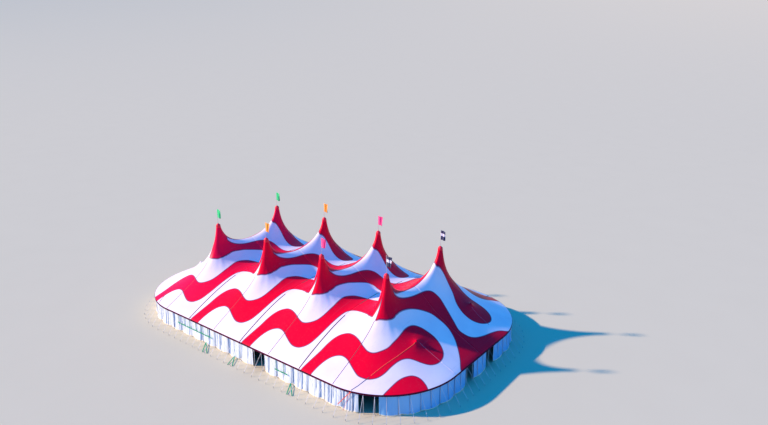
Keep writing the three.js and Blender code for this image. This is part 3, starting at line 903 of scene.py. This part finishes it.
# Laced joints between sections, from beside the king poles' row to the eave, and over the ridge
SEAMS_DARK = [[(x, y), (x, -22), (x, -29.95)] for x, y in ((20, -14.3), (0, -14.6), (-20, -14.3))]
SEAMS_RIDGE = [[(x, -8.6), (x, -5), (x, -1.5)] for x in (20, 0, -20)]
SEAMS_FAINT = [[(x, -15.6), (x, -22), (x, -29.9)] for x in (10, -10, 30, -30)]
# Seam and webbing that run out from the quarter poles at the ends. The red and the pink webbing are
# coloured brighter than the cloth they lie on, a painted highlight of the lit creases they follow.
SEAM_END_DARK = [[(36.1, -25.1), (35.24, -27.9), (34.6, -29.3)]]
HIGHLIGHT_STRAPS_RED = [[(39.0, -12.4), (38.0, -17.7), (37.1, -21), (36.2, -24.6)]]
STRAPS_BRIGHT = [[(44.9, -10.9), (46.5, -10.88), (48.5, -10.85)]]
HIGHLIGHT_STRAPS_PINK = [[(39.5, -11.4), (42, -11.0), (44.8, -10.9)]]

RIBBON_LIFT = 0.0015
RIBBON_STEP = 0.03
STITCH = 0.009  # half the width and half the length that a lacing stitch spans
STITCH_STEP = 0.035


def canopy_ribbon(bm, points, width, crown):
    """Adds a flat or crowned ribbon that follows the canopy along plan points of the model."""
    points = np.array(points, float)
    legs = np.hypot(*np.diff(points, axis=0).T)
    reach = np.concatenate([[0], np.cumsum(legs)])

    def at(distance):
        return np.array([np.interp(distance, reach, points[:, i]) for i in (0, 1)])

    def place(u, v):
        run = u * reach[-1]
        tx, ty = at(np.clip(run + 0.01, 0, reach[-1])) - at(np.clip(run - 0.01, 0, reach[-1]))
        side = (v - 0.5) * width / np.hypot(tx, ty)
        x, y = at(run)
        x, y = x - ty * side, y + tx * side
        return x, y, skin_height(x, y) + RIBBON_LIFT + crown * (1 - (2 * v - 1) ** 2)

    sheet_grid(bm, max(2, round(reach[-1] / RIBBON_STEP)), 4 if crown else 2, place)


def both_halves(runs):
    return [[(x * REAL * s, y * REAL * s) for x, y in run] for run in runs for s in (1, -1)]


def four_corners(runs):
    return both_halves(runs + [[(x, -y) for x, y in run] for run in runs])


def lacing_stitches(runs):
    """Short bars of rope that cross a laced joint, leaning to and fro."""
    bm = bmesh.new()
    for run in runs:
        (x0, y0), (_, y1) = run[0], run[-1]
        count = round(abs(y1 - y0) / STITCH_STEP)
        for n in range(count):
            y = y0 + (y1 - y0) * (n + 0.5) / count
            lean = STITCH if n % 2 else -STITCH
            ends = [(x0 + lean * s, y + STITCH * s) for s in (-1, 1)]
            bar(bm, *[(*end, float(skin_height(*end)) + 0.004) for end in ends], 0.0025)
    return bm


class BIGTOP_OT_joints(bpy.types.Operator):
    """Laced joints between the canopy's sections, and the webbing sewn on them"""

    bl_idname = "bigtop.joints"
    bl_label = "Lacing and sewn webbing"

    def execute(self, context):
        look = context.scene.big_top_canopy
        dark, faint, bright, red, pink, rope = [
            webbing(name, linear(colour), linear(worn))
            for name, colour, worn in (
                ("lacing_cover", "4E4A48", "5C5652"),
                ("seam_tape", "543842", "5E424C"),
                ("sewn_webbing", "FFE9F0", "F2DCE6"),
                # painted highlight: the red and pink webbing are brighter than the red cloth, for the lit
                # creases
                ("red_sewn_webbing", "FF5A3C", "FF3A30"),
                ("pink_sewn_webbing", "E8506C", "D84460"),
                ("lacing_rope", "8C8088", "7A7078"),
            )
        ]
        joints = both_halves(SEAMS_DARK)
        strap = look.strap_width
        for name, runs, cloth, width, crown, thickness in (
            ("laced_joints", joints, dark, look.lacing_width, 0, 0.0012),
            ("seam_tapes", both_halves(SEAMS_FAINT), faint, strap * 0.8, 0, 0.001),
            ("ridge_joints", both_halves(SEAMS_RIDGE), dark, strap, 0, 0.001),
            ("end_pole_webbing", both_halves(STRAPS_BRIGHT), bright, strap, 0.002, 0.0015),
            # raised webbing along the creases, in colours that paint the creases' highlight
            ("end_pole_red_webbing", both_halves(HIGHLIGHT_STRAPS_RED), red, strap, 0.002, 0.0015),
            ("end_pole_pink_webbing", four_corners(HIGHLIGHT_STRAPS_PINK), pink, strap, 0.002, 0.0015),
            ("end_pole_seam", four_corners(SEAM_END_DARK), dark, strap, 0.002, 0.0015),
        ):
            bm = bmesh.new()
            for run in runs:
                canopy_ribbon(bm, run, width, crown)
            face_upwards(bm)
            thicken(finish_piece(name, bm, [cloth]), thickness, 1.0)
        finish_piece("lacing_stitches", lacing_stitches(joints), [rope], smooth=False)
        return {"FINISHED"}


# Walls

# Creases of the front curtains, in bays round the tent; elsewhere they fall at random
FRONT_CREASES = [
    0.0, 1.2, 2.1, 3.1, 3.9, 4.9, 6.4, 7.7, 9.2, 9.6, 10.5, 11.9, 12.9, 13.4, 15.4, 15.9, 17.0, 17.9,
    18.9, 19.2, 19.8, 20.3, 20.9, 21.9, 22.5, 23.0, 23.5, 23.8, 24.4, 24.9, 25.2, 25.5, 25.8, 26.1,
]
# These curtains fall smoother, crease at each side pole and take a bluer copy of the cloth, which paints
# the shade they lie in
SMOOTH_WALLS = ("corner_front_right", "end_right", "corner_back_right")
WALL_STEP = 0.0105
WALL_ROWS = 26
HEM_R = 0.0034
FOOT_Z = 0.004  # lowest point of the hem, midway between two ties
TIE_RISE = 0.012  # how far a tie lifts the foot
PLEAT_REACH, PLEAT_RUN, PLEAT_DEPTH = 0.05, 0.022, 0.004  # small pleats at a doorway's edge


def curtain_fold(s, seed, smooth):
    """Depth of the curtain's folds, -1.3 to 0.9, s bays round the tent."""
    draw = random.Random(seed)
    lag = [draw.uniform(0, 2 * math.pi) for _ in range(3)]
    waves = zip((0.26, 0.16, 0.1), (0.9, 2.3, 4.1), lag)
    wave = sum(size * np.sin(2 * math.pi * s * rate + start) for size, rate, start in waves)
    first, last = s.min(), s.max()
    creases = [c for c in FRONT_CREASES if first < c < last]
    if not creases:
        creases = [draw.uniform(first, last) for _ in range(int((last - first) * 1.1) + 1)]
    if smooth:
        wave *= 0.5
        creases = list(range(math.ceil(first), math.ceil(last)))
    for crease in creases:
        width = 0.045 if smooth else draw.uniform(0.06, 0.12)
        wave -= draw.uniform(0.7, 1.3) * np.exp(-(((s - crease) / width) ** 2))
    return np.clip(wave, -1.3, 0.9)


def wall_shape(s0, s1, look, seed, smooth):
    """place(u, v) of a curtain from s0 to s1 bays, v from its foot to its head."""
    length = s1 - s0
    ties = max(1, round(length * POLE_BAY / look.scallop))

    def place(u, v):
        s = s0 + length * u
        edge = np.minimum(s - s0, s1 - s) * POLE_BAY
        free = np.clip(1.1 - v, 0, 1)
        arch = np.abs(np.sin(math.pi * u * ties))
        pleat = np.exp(-((edge / PLEAT_REACH) ** 2)) * np.sin(edge * 2 * math.pi / PLEAT_RUN)
        inwards = WALL_IN + PLEAT_DEPTH * pleat
        inwards -= look.fold_depth * (0.3 + 0.7 * free) * curtain_fold(s, seed, smooth)
        inwards -= look.belly * arch * np.clip(1 - v / 0.7, 0, 1) ** 1.5
        # the head stays inside the side poles and their rail
        inwards = np.maximum(inwards, np.where(v < 0.85, -0.008, 0.012))
        inwards = np.where(v > 0.9, np.maximum(inwards, 0.0235), inwards)
        x, y, _, _ = around(s, inwards)
        foot = FOOT_Z + TIE_RISE * (1 - arch)
        return x, y, foot + (WALL_TOP - foot) * v

    return place


def curtain(k, look, cloths, lining, hem_cloth):
    """Makes the wall curtain of one stretch between doorways, with the rope in its hem."""
    name = STRETCHES[k]
    s0, s1 = JOINTS[k][2], JOINTS[k + 1][0]
    smooth = name in SMOOTH_WALLS
    seed = 40 + k
    place = wall_shape(s0, s1, look, seed, smooth)
    columns = round((s1 - s0) * POLE_BAY / WALL_STEP)
    bm = bmesh.new()
    sheet_grid(bm, columns, WALL_ROWS, place)
    bm.normal_update()
    if sum(f.normal.xy.dot(f.calc_center_median().xy) for f in bm.faces) < 0:
        bmesh.ops.reverse_faces(bm, faces=bm.faces)
    piece = finish_piece(f"curtain_{name}", bm, [cloths[smooth], lining], [f"wall_{name}"])
    stations = s0 + (s1 - s0) * np.arange(columns + 1) / columns
    # how deep each fold lies, which the material paints as shade
    fold = np.clip(-curtain_fold(stations, seed, smooth), 0, 1)
    welds = stations if smooth else stations * 0 + 0.5
    write_values(piece, "fold", np.tile(fold, WALL_ROWS + 1))
    write_values(piece, "station", np.tile(welds, WALL_ROWS + 1))
    write_values(piece, "rise", np.repeat(np.arange(WALL_ROWS + 1) / WALL_ROWS, columns + 1))
    # the inner face takes the near-black painted interior shade
    thicken(piece, look.skin, 0.0, inner=1)

    def on_hem(a, b):
        x, y, z = place(a, np.zeros(len(a)))
        turn = 2 * math.pi * b
        _, _, nx, ny = around(s0 + (s1 - s0) * a)
        out = HEM_R * np.cos(turn)
        return x + nx * out, y + ny * out, np.maximum(z + HEM_R * np.sin(turn), 0.0005)

    rope = finish_piece(f"hem_{name}", tube(columns // 2, 6, on_hem), [hem_cloth])
    # points along the curtain, following its folds, a quarter of the way up
    x, y, _ = place(np.linspace(0, 1, 4 * columns), np.full(4 * columns, 0.25))


class BIGTOP_OT_walls(bpy.types.Operator):
    """Ten folded wall curtains between the doorways, with a rope in the hem"""

    bl_idname = "bigtop.walls"
    bl_label = "Wall curtains"

    def execute(self, context):
        look = context.scene.big_top_walls
        white = wall_fabric(look, "coated_wall_curtain", look.white, look.white_cool)
        # painted shade: the bluer copy of the cloth for the curtains round the right end
        blue = wall_fabric(look, "blue_coated_wall_curtain", look.blue, look.painted_shade_copy_worn)
        lining = blackout_lining(context.scene.big_top_canopy)
        hem_cloth = webbing("hem_rope", look.hem, linear("EFE2BC"))
        for k in range(len(STRETCHES)):
            curtain(k, look, (white, blue), lining, hem_cloth)
        return {"FINISHED"}


# Side poles, rail, guys and stakes

FOOT_PLATE_R = 0.012
STAKE_TOP = 0.045
RATCHET_AT = 0.76  # of the way down a guy


def side_pole(s, look, poles, guys, stakes):
    """Adds the pole at station s with its collar and foot plate, its guy with a ratchet, its stake."""
    foot, head = at_station(s, -RAIL_IN, 0), at_station(s, -RAIL_IN, RAIL_Z)
    rod(poles, foot + UP * 0.004, head, look.pole_radius, 10)
    rod(poles, foot, foot + UP * 0.004, FOOT_PLATE_R, 12)
    rod(poles, head - UP * 0.03, head - UP * 0.012, look.pole_radius + 0.0015, 10)
    a = at_station(s, -RAIL_IN + look.pole_radius, GUY_HEAD_Z)
    b = at_station(s, STAKE_OUT - look.stake_radius, GUY_FOOT_Z)
    along = (b - a).normalized()
    out = at_station(s, 1, 0) - at_station(s, 0, 0)
    flat = out.cross(UP).normalized().cross(along)
    bar(guys, a, b, look.guy_width, 0.0012, flat)
    ratchet = a + (b - a) * RATCHET_AT
    box = bar(guys, ratchet, ratchet + along * 0.022, 0.0095, 0.0065, flat)
    edges = list({e for v in box for e in v.link_edges})
    round_off = {"offset": 0.0012, "segments": 2, "profile": 0.5, "affect": "EDGES", "material": -1}
    bmesh.ops.bevel(guys, geom=edges, **round_off)
    top = at_station(s, STAKE_OUT, STAKE_TOP)
    rod(stakes, at_station(s, STAKE_OUT, 0), top - UP * 0.005, look.stake_radius, 8)
    rod(stakes, top - UP * 0.005, top, look.stake_radius * 1.5, 8, look.stake_radius * 1.2)


class BIGTOP_OT_side_poles(bpy.types.Operator):
    """Side poles with their rail, webbing guys with ratchets, and stakes"""

    bl_idname = "bigtop.side_poles"
    bl_label = "Side poles and guys"

    def execute(self, context):
        look = context.scene.big_top_rigging
        pale = painted_steel("painted_side_pole", linear("D8DADC"), linear("C4C6CA"))
        zinc = galvanised_steel("galvanised_stake")
        strap = webbing("guy_webbing", look.guy_colour, linear("B9BCC6"))
        for k, name in enumerate(STRETCHES):
            start, end = JOINTS[k][1], JOINTS[k + 1][1]

            def on_rail(a, b):
                turn = 2 * math.pi * b
                along = start + 0.0006 + (end - start - 0.0012) * a
                x, y, _, _ = around(along, RAIL_IN - look.rail_radius * np.cos(turn))
                return x, y, RAIL_Z + look.rail_radius * np.sin(turn)

            node = f"side_poles_{name}"
            rail = tube(round((end - start) * 3), 8, on_rail)
            finish_piece(f"rail_{name}", rail, [zinc], [node])
            poles, guys, stakes = bmesh.new(), bmesh.new(), bmesh.new()
            for s in range(math.ceil(start), math.ceil(end)):
                side_pole(s, look, poles, guys, stakes)
            finish_piece(f"poles_{name}", poles, [pale], [node])
            finish_piece(f"guys_{name}", guys, [strap], [node], smooth=False)
            finish_piece(f"stakes_{name}", stakes, [zinc], [node])
        return {"FINISHED"}


# Straps seen outside the wall, by bays round the tent: (start, end, height) of a green line along
# the wall, (bay at the hem, bay at the stakes) of the green tie-downs, and of the red strap
WALL_LINES = [(16.84, 18.54, 0.232), (1.92, 7.6, 0.254)]
TIE_DOWNS = [(6.6, 7.7), (11.1, 11.6), (18.9, 19.7)]
RED_STRAP = (25.9, 24.65)
LINE_SAG = 0.012
LINE_STEP = 0.25  # of a bay
HANGER_TOP = 0.464
ACROSS = Vector((0, 1, 0))


def green_straps(half):
    """The green lines with their hangers and the tie-downs with their pegs, from station half."""
    bm = bmesh.new()
    for start, end, z in WALL_LINES:
        stops = np.arange(start, end, LINE_STEP).tolist() + [end]
        spots = [at_station(half + s, 0.001, z - LINE_SAG * abs(math.sin(math.pi * s))) for s in stops]
        for a, b in zip(spots, spots[1:]):
            bar(bm, a, b, 0.030, 0.0014, ACROSS)
        for s in range(math.ceil(start), math.floor(end) + 1):
            ends = at_station(half + s, 0.0, z), at_station(half + s, -0.0065, HANGER_TOP)
            bar(bm, *ends, 0.010, 0.0014, ACROSS)
    for top, foot in TIE_DOWNS:
        for lean, reach in ((0.0, STAKE_OUT), (0.55, 0.29)):
            a, b = at_station(half + top, 0.004, 0.05), at_station(half + foot + lean, reach, 0.012)
            bar(bm, a, b, 0.024, 0.0015)
            rod(bm, b - UP * 0.012, b + UP * 0.016, 0.004, 8)
    return bm


def red_strap(half):
    """The red strap and its thin tail, which part at the eave, from station half."""
    bm = bmesh.new()
    top = at_station(half + RED_STRAP[0], 0.003, 0.49)
    for bays, out, z, width in ((0, 0.03, 0.11, 0.016), (0.6, 0.05, 0.02, 0.006)):
        bar(bm, top, at_station(half + RED_STRAP[1] + bays, out, z), width, 0.0015, ACROSS)
    return bm


class BIGTOP_OT_wall_straps(bpy.types.Operator):
    """Green line along the wall with its hangers, green tie-downs at the foot, and the red strap"""

    bl_idname = "bigtop.wall_straps"
    bl_label = "Wall straps"

    def execute(self, context):
        look = context.scene.big_top_rigging
        green = webbing("green_webbing", look.green, linear("008866"))
        red = webbing("red_webbing", look.red, linear("D84A30"))
        for half, side in ((0, "front"), (HALF_ROUND, "back")):
            finish_piece(f"green_straps_{side}", green_straps(half), [green], smooth=False)
            finish_piece(f"red_strap_{side}", red_strap(half), [red], smooth=False)
        return {"FINISHED"}


# King poles

PLATE_PROFILE = [(0.05, 0), (0.05, 0.006), (0.048, 0.008), (0.0, 0.008)]
PLATE_TOP = 0.008
MAST_CHORD = 0.0145  # from the mast's axis to its chords, across and along
MAST_FOOT = 0.03  # height of its lowest brace
MAST_STEP = 0.06
RING_PROFILE = [(0.0545, -0.012), (0.0545, 0.0), (0.050, 0.0), (0.050, -0.012), (0.0545, -0.012)]
CAP_PROFILE = [
    (0.0655, -0.072), (0.0635, -0.05), (0.0615, -0.025), (0.0585, 0.0), (0.052, 0.012),
    (0.042, 0.021), (0.030, 0.030), (0.020, 0.038), (0.0125, 0.044), (0.0075, 0.048),
]
CAP_GORES = 12
STAFF_TIP = RING_Z + GAP + 0.048 + 0.43


def lattice_mast(foot, corners):
    """A foot plate with its bolts, four chords, and the braces between them."""
    bm = bmesh.new()
    turned_shape(bm, PLATE_PROFILE, foot, 28)
    bmesh.ops.holes_fill(bm, edges=bm.edges, sides=40)
    bolts(bm, foot, 6, 0.04, PLATE_TOP, 0.0035)
    for a, b in zip(corners, corners[1:] + corners[:1]):
        rod(bm, a + UP * PLATE_TOP, a + UP * (RING_Z - 0.004), 0.0032, 8)
        for n in range(math.floor((RING_Z - MAST_FOOT) / MAST_STEP)):
            z = MAST_FOOT + n * MAST_STEP
            rod(bm, a + UP * z, b + UP * z, 0.0016, 5)
            low, high = (a, b) if n % 2 else (b, a)
            rod(bm, low + UP * z, high + UP * (z + MAST_STEP), 0.0014, 5)
    return bm


def lifting_ring(foot, corners):
    """The ring that carries the canopy, and the arms that hold it to the mast's chords."""
    bm = bmesh.new()
    turned_shape(bm, RING_PROFILE, foot + UP * (RING_Z - 0.001), 32)
    bmesh.ops.remove_doubles(bm, verts=bm.verts, dist=1e-5)
    for corner in corners:
        inner = corner + UP * (RING_Z - 0.007)
        arm = (corner - foot).normalized() * 0.0515
        bar(bm, inner, foot + arm + UP * (RING_Z - 0.007), 0.004, 0.009)
    return bm


def flag_staff(foot):
    """The staff with its collar and ball."""
    bm = bmesh.new()
    rod(bm, foot + UP * (RING_Z + 0.04), foot + UP * (STAFF_TIP - 0.008), 0.004, 12, 0.003)
    rod(bm, foot + UP * (RING_Z + 0.044), foot + UP * (RING_Z + 0.054), 0.0065, 12)
    ball = Matrix.Translation(foot + UP * (STAFF_TIP - 0.005))
    bmesh.ops.create_uvsphere(bm, u_segments=12, v_segments=8, radius=0.005, matrix=ball)
    return bm


def sewn_cap(foot):
    """The cloth cone over the lifting ring, swelling a little between its seams."""
    bm = bmesh.new()
    turned_shape(bm, CAP_PROFILE, foot + UP * RING_Z, 48)
    face_upwards(bm)
    for v in bm.verts:
        reach = v.co.xy - foot.xy
        swell = 1 + 0.012 * abs(math.sin(CAP_GORES / 2 * math.atan2(reach.y, reach.x)))
        v.co.xy = foot.xy + reach * swell
    return bm


class BIGTOP_OT_king_poles(bpy.types.Operator):
    """Lattice masts with foot plate, lifting ring, sewn cap and flag staff"""

    bl_idname = "bigtop.king_poles"
    bl_label = "King poles"

    def execute(self, context):
        mast_paint = painted_steel("painted_lattice_mast", linear("B9BDC2"), linear("A2A7AE"))
        staff_paint = painted_steel("painted_flag_staff", linear("E9E4E0"), linear("D6D0CC"))
        cap_cloth = coated_cap_fabric(context.scene.big_top_canopy)
        zinc = galvanised_steel("galvanised_ring")
        for side, k, x, y in KING_POLES:
            foot = Vector((x, y, 0))
            node = [f"king_pole_{side}_{k}"]
            signs = ((1, 1), (-1, 1), (-1, -1), (1, -1))
            corners = [foot + Vector((MAST_CHORD * a, MAST_CHORD * b, 0)) for a, b in signs]
            finish_piece(f"mast_{side}_{k}", lattice_mast(foot, corners), [mast_paint], node)
            ring = f"lifting_ring_{side}_{k}"
            finish_piece(ring, lifting_ring(foot, corners), [zinc])
            finish_piece(f"staff_{side}_{k}", flag_staff(foot), [staff_paint], node)
            piece = finish_piece(f"cap_{side}_{k}", sewn_cap(foot), [cap_cloth], node)
            thicken(piece, 0.0015)
        return {"FINISHED"}


# Quarter poles


def quarter_pole(foot, top):
    """A foot plate with its bolts, the outer and the inner tube with collar and pin, and a head."""
    bm = bmesh.new()
    joint = top * 0.62
    profile = [
        (0.0, 0.0), (0.026, 0.0), (0.026, 0.004), (0.024, 0.006), (0.012, 0.007), (0.0105, 0.016),
        (0.009, 0.018), (0.009, joint), (0.0095, joint + 0.002), (0.0095, joint + 0.014),
        (0.0075, joint + 0.016), (0.0075, top - 0.03), (0.0090, top - 0.027), (0.0090, top - 0.021),
        (0.0060, top - 0.016), (0.0060, top - 0.006), (0.0040, top - 0.0015), (0.0, top),
    ]
    turned_shape(bm, profile, foot, 20)
    bmesh.ops.recalc_face_normals(bm, faces=bm.faces)
    bolts(bm, foot, 4, 0.019, 0.005, 0.0028, math.pi / 4)
    pin, half = foot + UP * (joint + 0.008), Vector((0.013, 0, 0))
    rod(bm, pin - half, pin + half, 0.0018, 8)
    return bm


class BIGTOP_OT_quarter_poles(bpy.types.Operator):
    """Galvanised quarter poles with foot plate, telescopic collar and rounded head"""

    bl_idname = "bigtop.quarter_poles"
    bl_label = "Quarter poles"

    def execute(self, context):
        zinc = galvanised_steel("galvanised_quarter_pole")
        places = (("mid", BAY / 2, QUARTER_Y), ("side", HALF_LENGTH, QUARTER_Y), ("end", *END_QUARTER))
        for side, sy in SIDES:
            for end, sx in (("left", -1), ("right", 1)):
                for where, x, y in places:
                    node = f"quarter_pole_{where}_{side}_{end}"
                    pole = quarter_pole(Vector((sx * x, sy * y, 0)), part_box(node)[1][2])
                    finish_piece(f"{where}_pole_{side}_{end}", pole, [zinc], [node])
        return {"FINISHED"}


# Flags

FLAG_COLOURS = ("green", "orange", "pink", "navy")
FLAG_COLUMNS, FLAG_ROWS = 26, 30
FLAG_FOOT = 0.06  # how far its lower edge is over the lowest point of the CAD flag
NAVY_STRIPE = "D4D4E4"


def flag_shape(x, y, low, high, seed):
    """place(u, v) of a flag at a staff: u out from the staff, v up from its lower edge."""
    draw = random.Random(seed)
    lag = draw.uniform(0, 6)
    reach = draw.uniform(0.14, 0.148)

    def place(u, v):
        droop = 0.018 * u**1.3
        out = 0.0055 + reach * u * (0.88 + 0.12 * v)
        wave = 0.014 * u**0.7 * np.sin(7.5 * u * (1.3 - 0.4 * v) + lag)
        wave += 0.005 * u * np.sin(17 * u + 2 * v + lag)
        bottom = low + FLAG_FOOT
        return x + out, y + wave, bottom - droop + (high - 0.004 - bottom) * v

    return place


class BIGTOP_OT_flags(bpy.types.Operator):
    """Eight limp flags that hang beside their staffs"""

    bl_idname = "bigtop.flags"
    bl_label = "Flags"

    def execute(self, context):
        cloths = []
        for name in FLAG_COLOURS:
            colour = getattr(context.scene.big_top_flags, name)
            faded = tuple(min(1, c * 0.9 + 0.03) for c in colour)
            stripe = linear(NAVY_STRIPE) if name == "navy" else colour
            cloths.append(flag_cloth(f"flag_{name}_polyester", colour, faded, stripe))
        rise = np.repeat(np.arange(FLAG_ROWS + 1) / FLAG_ROWS, FLAG_COLUMNS + 1)
        for side, k, x, y in KING_POLES:
            node = f"flag_{side}_{k}"
            low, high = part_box(node)
            place = flag_shape(x, y, low[2], high[2], 69 + k + (4 if y > 0 else 0))
            bm = bmesh.new()
            sheet_grid(bm, FLAG_COLUMNS, FLAG_ROWS, place)
            piece = finish_piece(f"cloth_{node}", bm, [cloths[k - 1]], [node])
            write_values(piece, "rise", rise)
            thicken(piece, 0.0015, 0.0)
        return {"FINISHED"}


# Stage

# The floor is flat round the tent and far away rises very gently on all sides
FLOOR_FLAT = 40.0
FLOOR_STEPS = 16
FLOOR_GROWTH = 1.2
FLOOR_RISE = 0.0002
FLOOR_FADE = (430, 720)  # where the floor fades into the colour of the fill, from its middle
CAMERA_AT = (10.872, -11.302, 7.800)
CAMERA_HEADING = math.atan2(0.6145, 0.789)
CAMERA_PITCH = math.radians(17.08)
CAMERA_ROLL = math.radians(-0.26)


def paper_floor(look):
    """A very even paper floor, with only a trace of mottling, that meets the fill without an edge."""
    material, add, place, tone = start_material(
        "matt_studio_floor", [(0.8, 2)], Roughness=0.95, Specular_IOR_Level=0
    )
    gap = add("VectorMath", {0: place}, operation="LENGTH")["Value"]
    mottled = tuple(c * 0.97 for c in look.floor)
    paper = layered(add, look.floor, (tone, 0, 1, 0, 1, mottled), (gap, *FLOOR_FADE, 0, 1, look.fill))
    return finish_material(material, paper)


def floor_mesh():
    bm = bmesh.new()
    bmesh.ops.create_circle(bm, cap_ends=True, segments=96, radius=FLOOR_FLAT)
    rim = [e for e in bm.edges if e.is_boundary]
    for n in range(1, FLOOR_STEPS + 1):
        wide = FLOOR_FLAT * FLOOR_GROWTH**n
        made = bmesh.ops.extrude_edge_only(bm, edges=rim)["geom"]
        rim = [e for e in made if isinstance(e, bmesh.types.BMEdge) and e.is_boundary]
        for v in {v for e in rim for v in e.verts}:
            v.co = (*(v.co.xy.normalized() * wide), FLOOR_RISE * (wide - FLOOR_FLAT) ** 2)
    face_upwards(bm)
    for face in bm.faces:
        face.smooth = True
    mesh = bpy.data.meshes.new("floor")
    bm.to_mesh(mesh)
    bm.free()
    return mesh


class BIGTOP_OT_stage(bpy.types.Operator):
    """Pale floor, soft key light and fill, and the camera"""

    bl_idname = "bigtop.stage"
    bl_label = "Stage"

    def execute(self, context):
        scene = context.scene
        look = scene.big_top_stage
        lamp = bpy.data.lights.new("key_light", "SUN")
        lamp.energy = look.sun_strength
        lamp.angle = look.sun_spread
        lamp.color = look.key
        view = bpy.data.cameras.new("view")
        view.lens = look.lens
        view.sensor_width = 36
        view.sensor_fit = "HORIZONTAL"
        view.clip_end = 3000
        data = (("floor", floor_mesh()), ("key_light", lamp), ("view", view))
        floor, key, camera = [bpy.data.objects.new(name, each) for name, each in data]
        for each in (floor, key, camera):
            scene.collection.objects.link(each)
        floor.data.materials.append(paper_floor(look))
        flat = math.cos(look.sun_height)
        to_sun = Vector((math.cos(look.sun_heading) * flat, math.sin(look.sun_heading) * flat, 0))
        to_sun.z = math.sin(look.sun_height)
        key.rotation_euler = to_sun.to_track_quat("Z", "Y").to_euler()
        key.location = to_sun * 20
        world = bpy.data.worlds.new("soft_fill")
        world.use_nodes = True
        fill = {"Color": look.fill, "Strength": look.fill_strength}
        set_inputs(world.node_tree.nodes["Background"], fill)
        scene.world = world
        scene.view_settings.view_transform = "Standard"
        turn = Matrix.Rotation(CAMERA_HEADING, 4, "Z") @ Matrix.Rotation(math.pi / 2 - CAMERA_PITCH, 4, "X")
        camera.matrix_world = Matrix.Translation(CAMERA_AT) @ turn @ Matrix.Rotation(CAMERA_ROLL, 4, "Z")
        scene.camera = camera
        return {"FINISHED"}


GROUPS = {
    "big_top_canopy": BigTopCanopy,
    "big_top_walls": BigTopWalls,
    "big_top_rigging": BigTopRigging,
    "big_top_flags": BigTopFlags,
    "big_top_stage": BigTopStage,
}
OPERATORS = (
    BIGTOP_OT_canopy,
    BIGTOP_OT_joints,
    BIGTOP_OT_walls,
    BIGTOP_OT_side_poles,
    BIGTOP_OT_wall_straps,
    BIGTOP_OT_king_poles,
    BIGTOP_OT_quarter_poles,
    BIGTOP_OT_flags,
    BIGTOP_OT_stage,
)


class BIGTOP_PT_pieces(bpy.types.Panel):
    """The tent's pieces, and the sizes and colours that shape them"""

    bl_label = "Circus Big Top"
    bl_space_type = "VIEW_3D"
    bl_region_type = "UI"
    bl_category = "Big Top"

    def draw(self, context):
        layout = self.layout
        for group in GROUPS:
            box = layout.box()
            settings = getattr(context.scene, group)
            for key in settings.__annotations__:
                box.prop(settings, key)
        for operator in OPERATORS:
            layout.operator(operator.bl_idname)


CLASSES = (*GROUPS.values(), *OPERATORS, BIGTOP_PT_pieces)


def register():
    for each in CLASSES:
        bpy.utils.register_class(each)
    for key, group in GROUPS.items():
        setattr(bpy.types.Scene, key, bpy.props.PointerProperty(type=group))


def unregister():
    for key in GROUPS:
        delattr(bpy.types.Scene, key)
    for each in reversed(CLASSES):
        bpy.utils.unregister_class(each)


def main():
    register()
    for operator in OPERATORS:
        group, action = operator.bl_idname.split(".")
        if getattr(getattr(bpy.ops, group), action)() != {"FINISHED"}:
            raise RuntimeError(f"{operator.bl_label} was not finished")


if __name__ == "__main__":
    main()
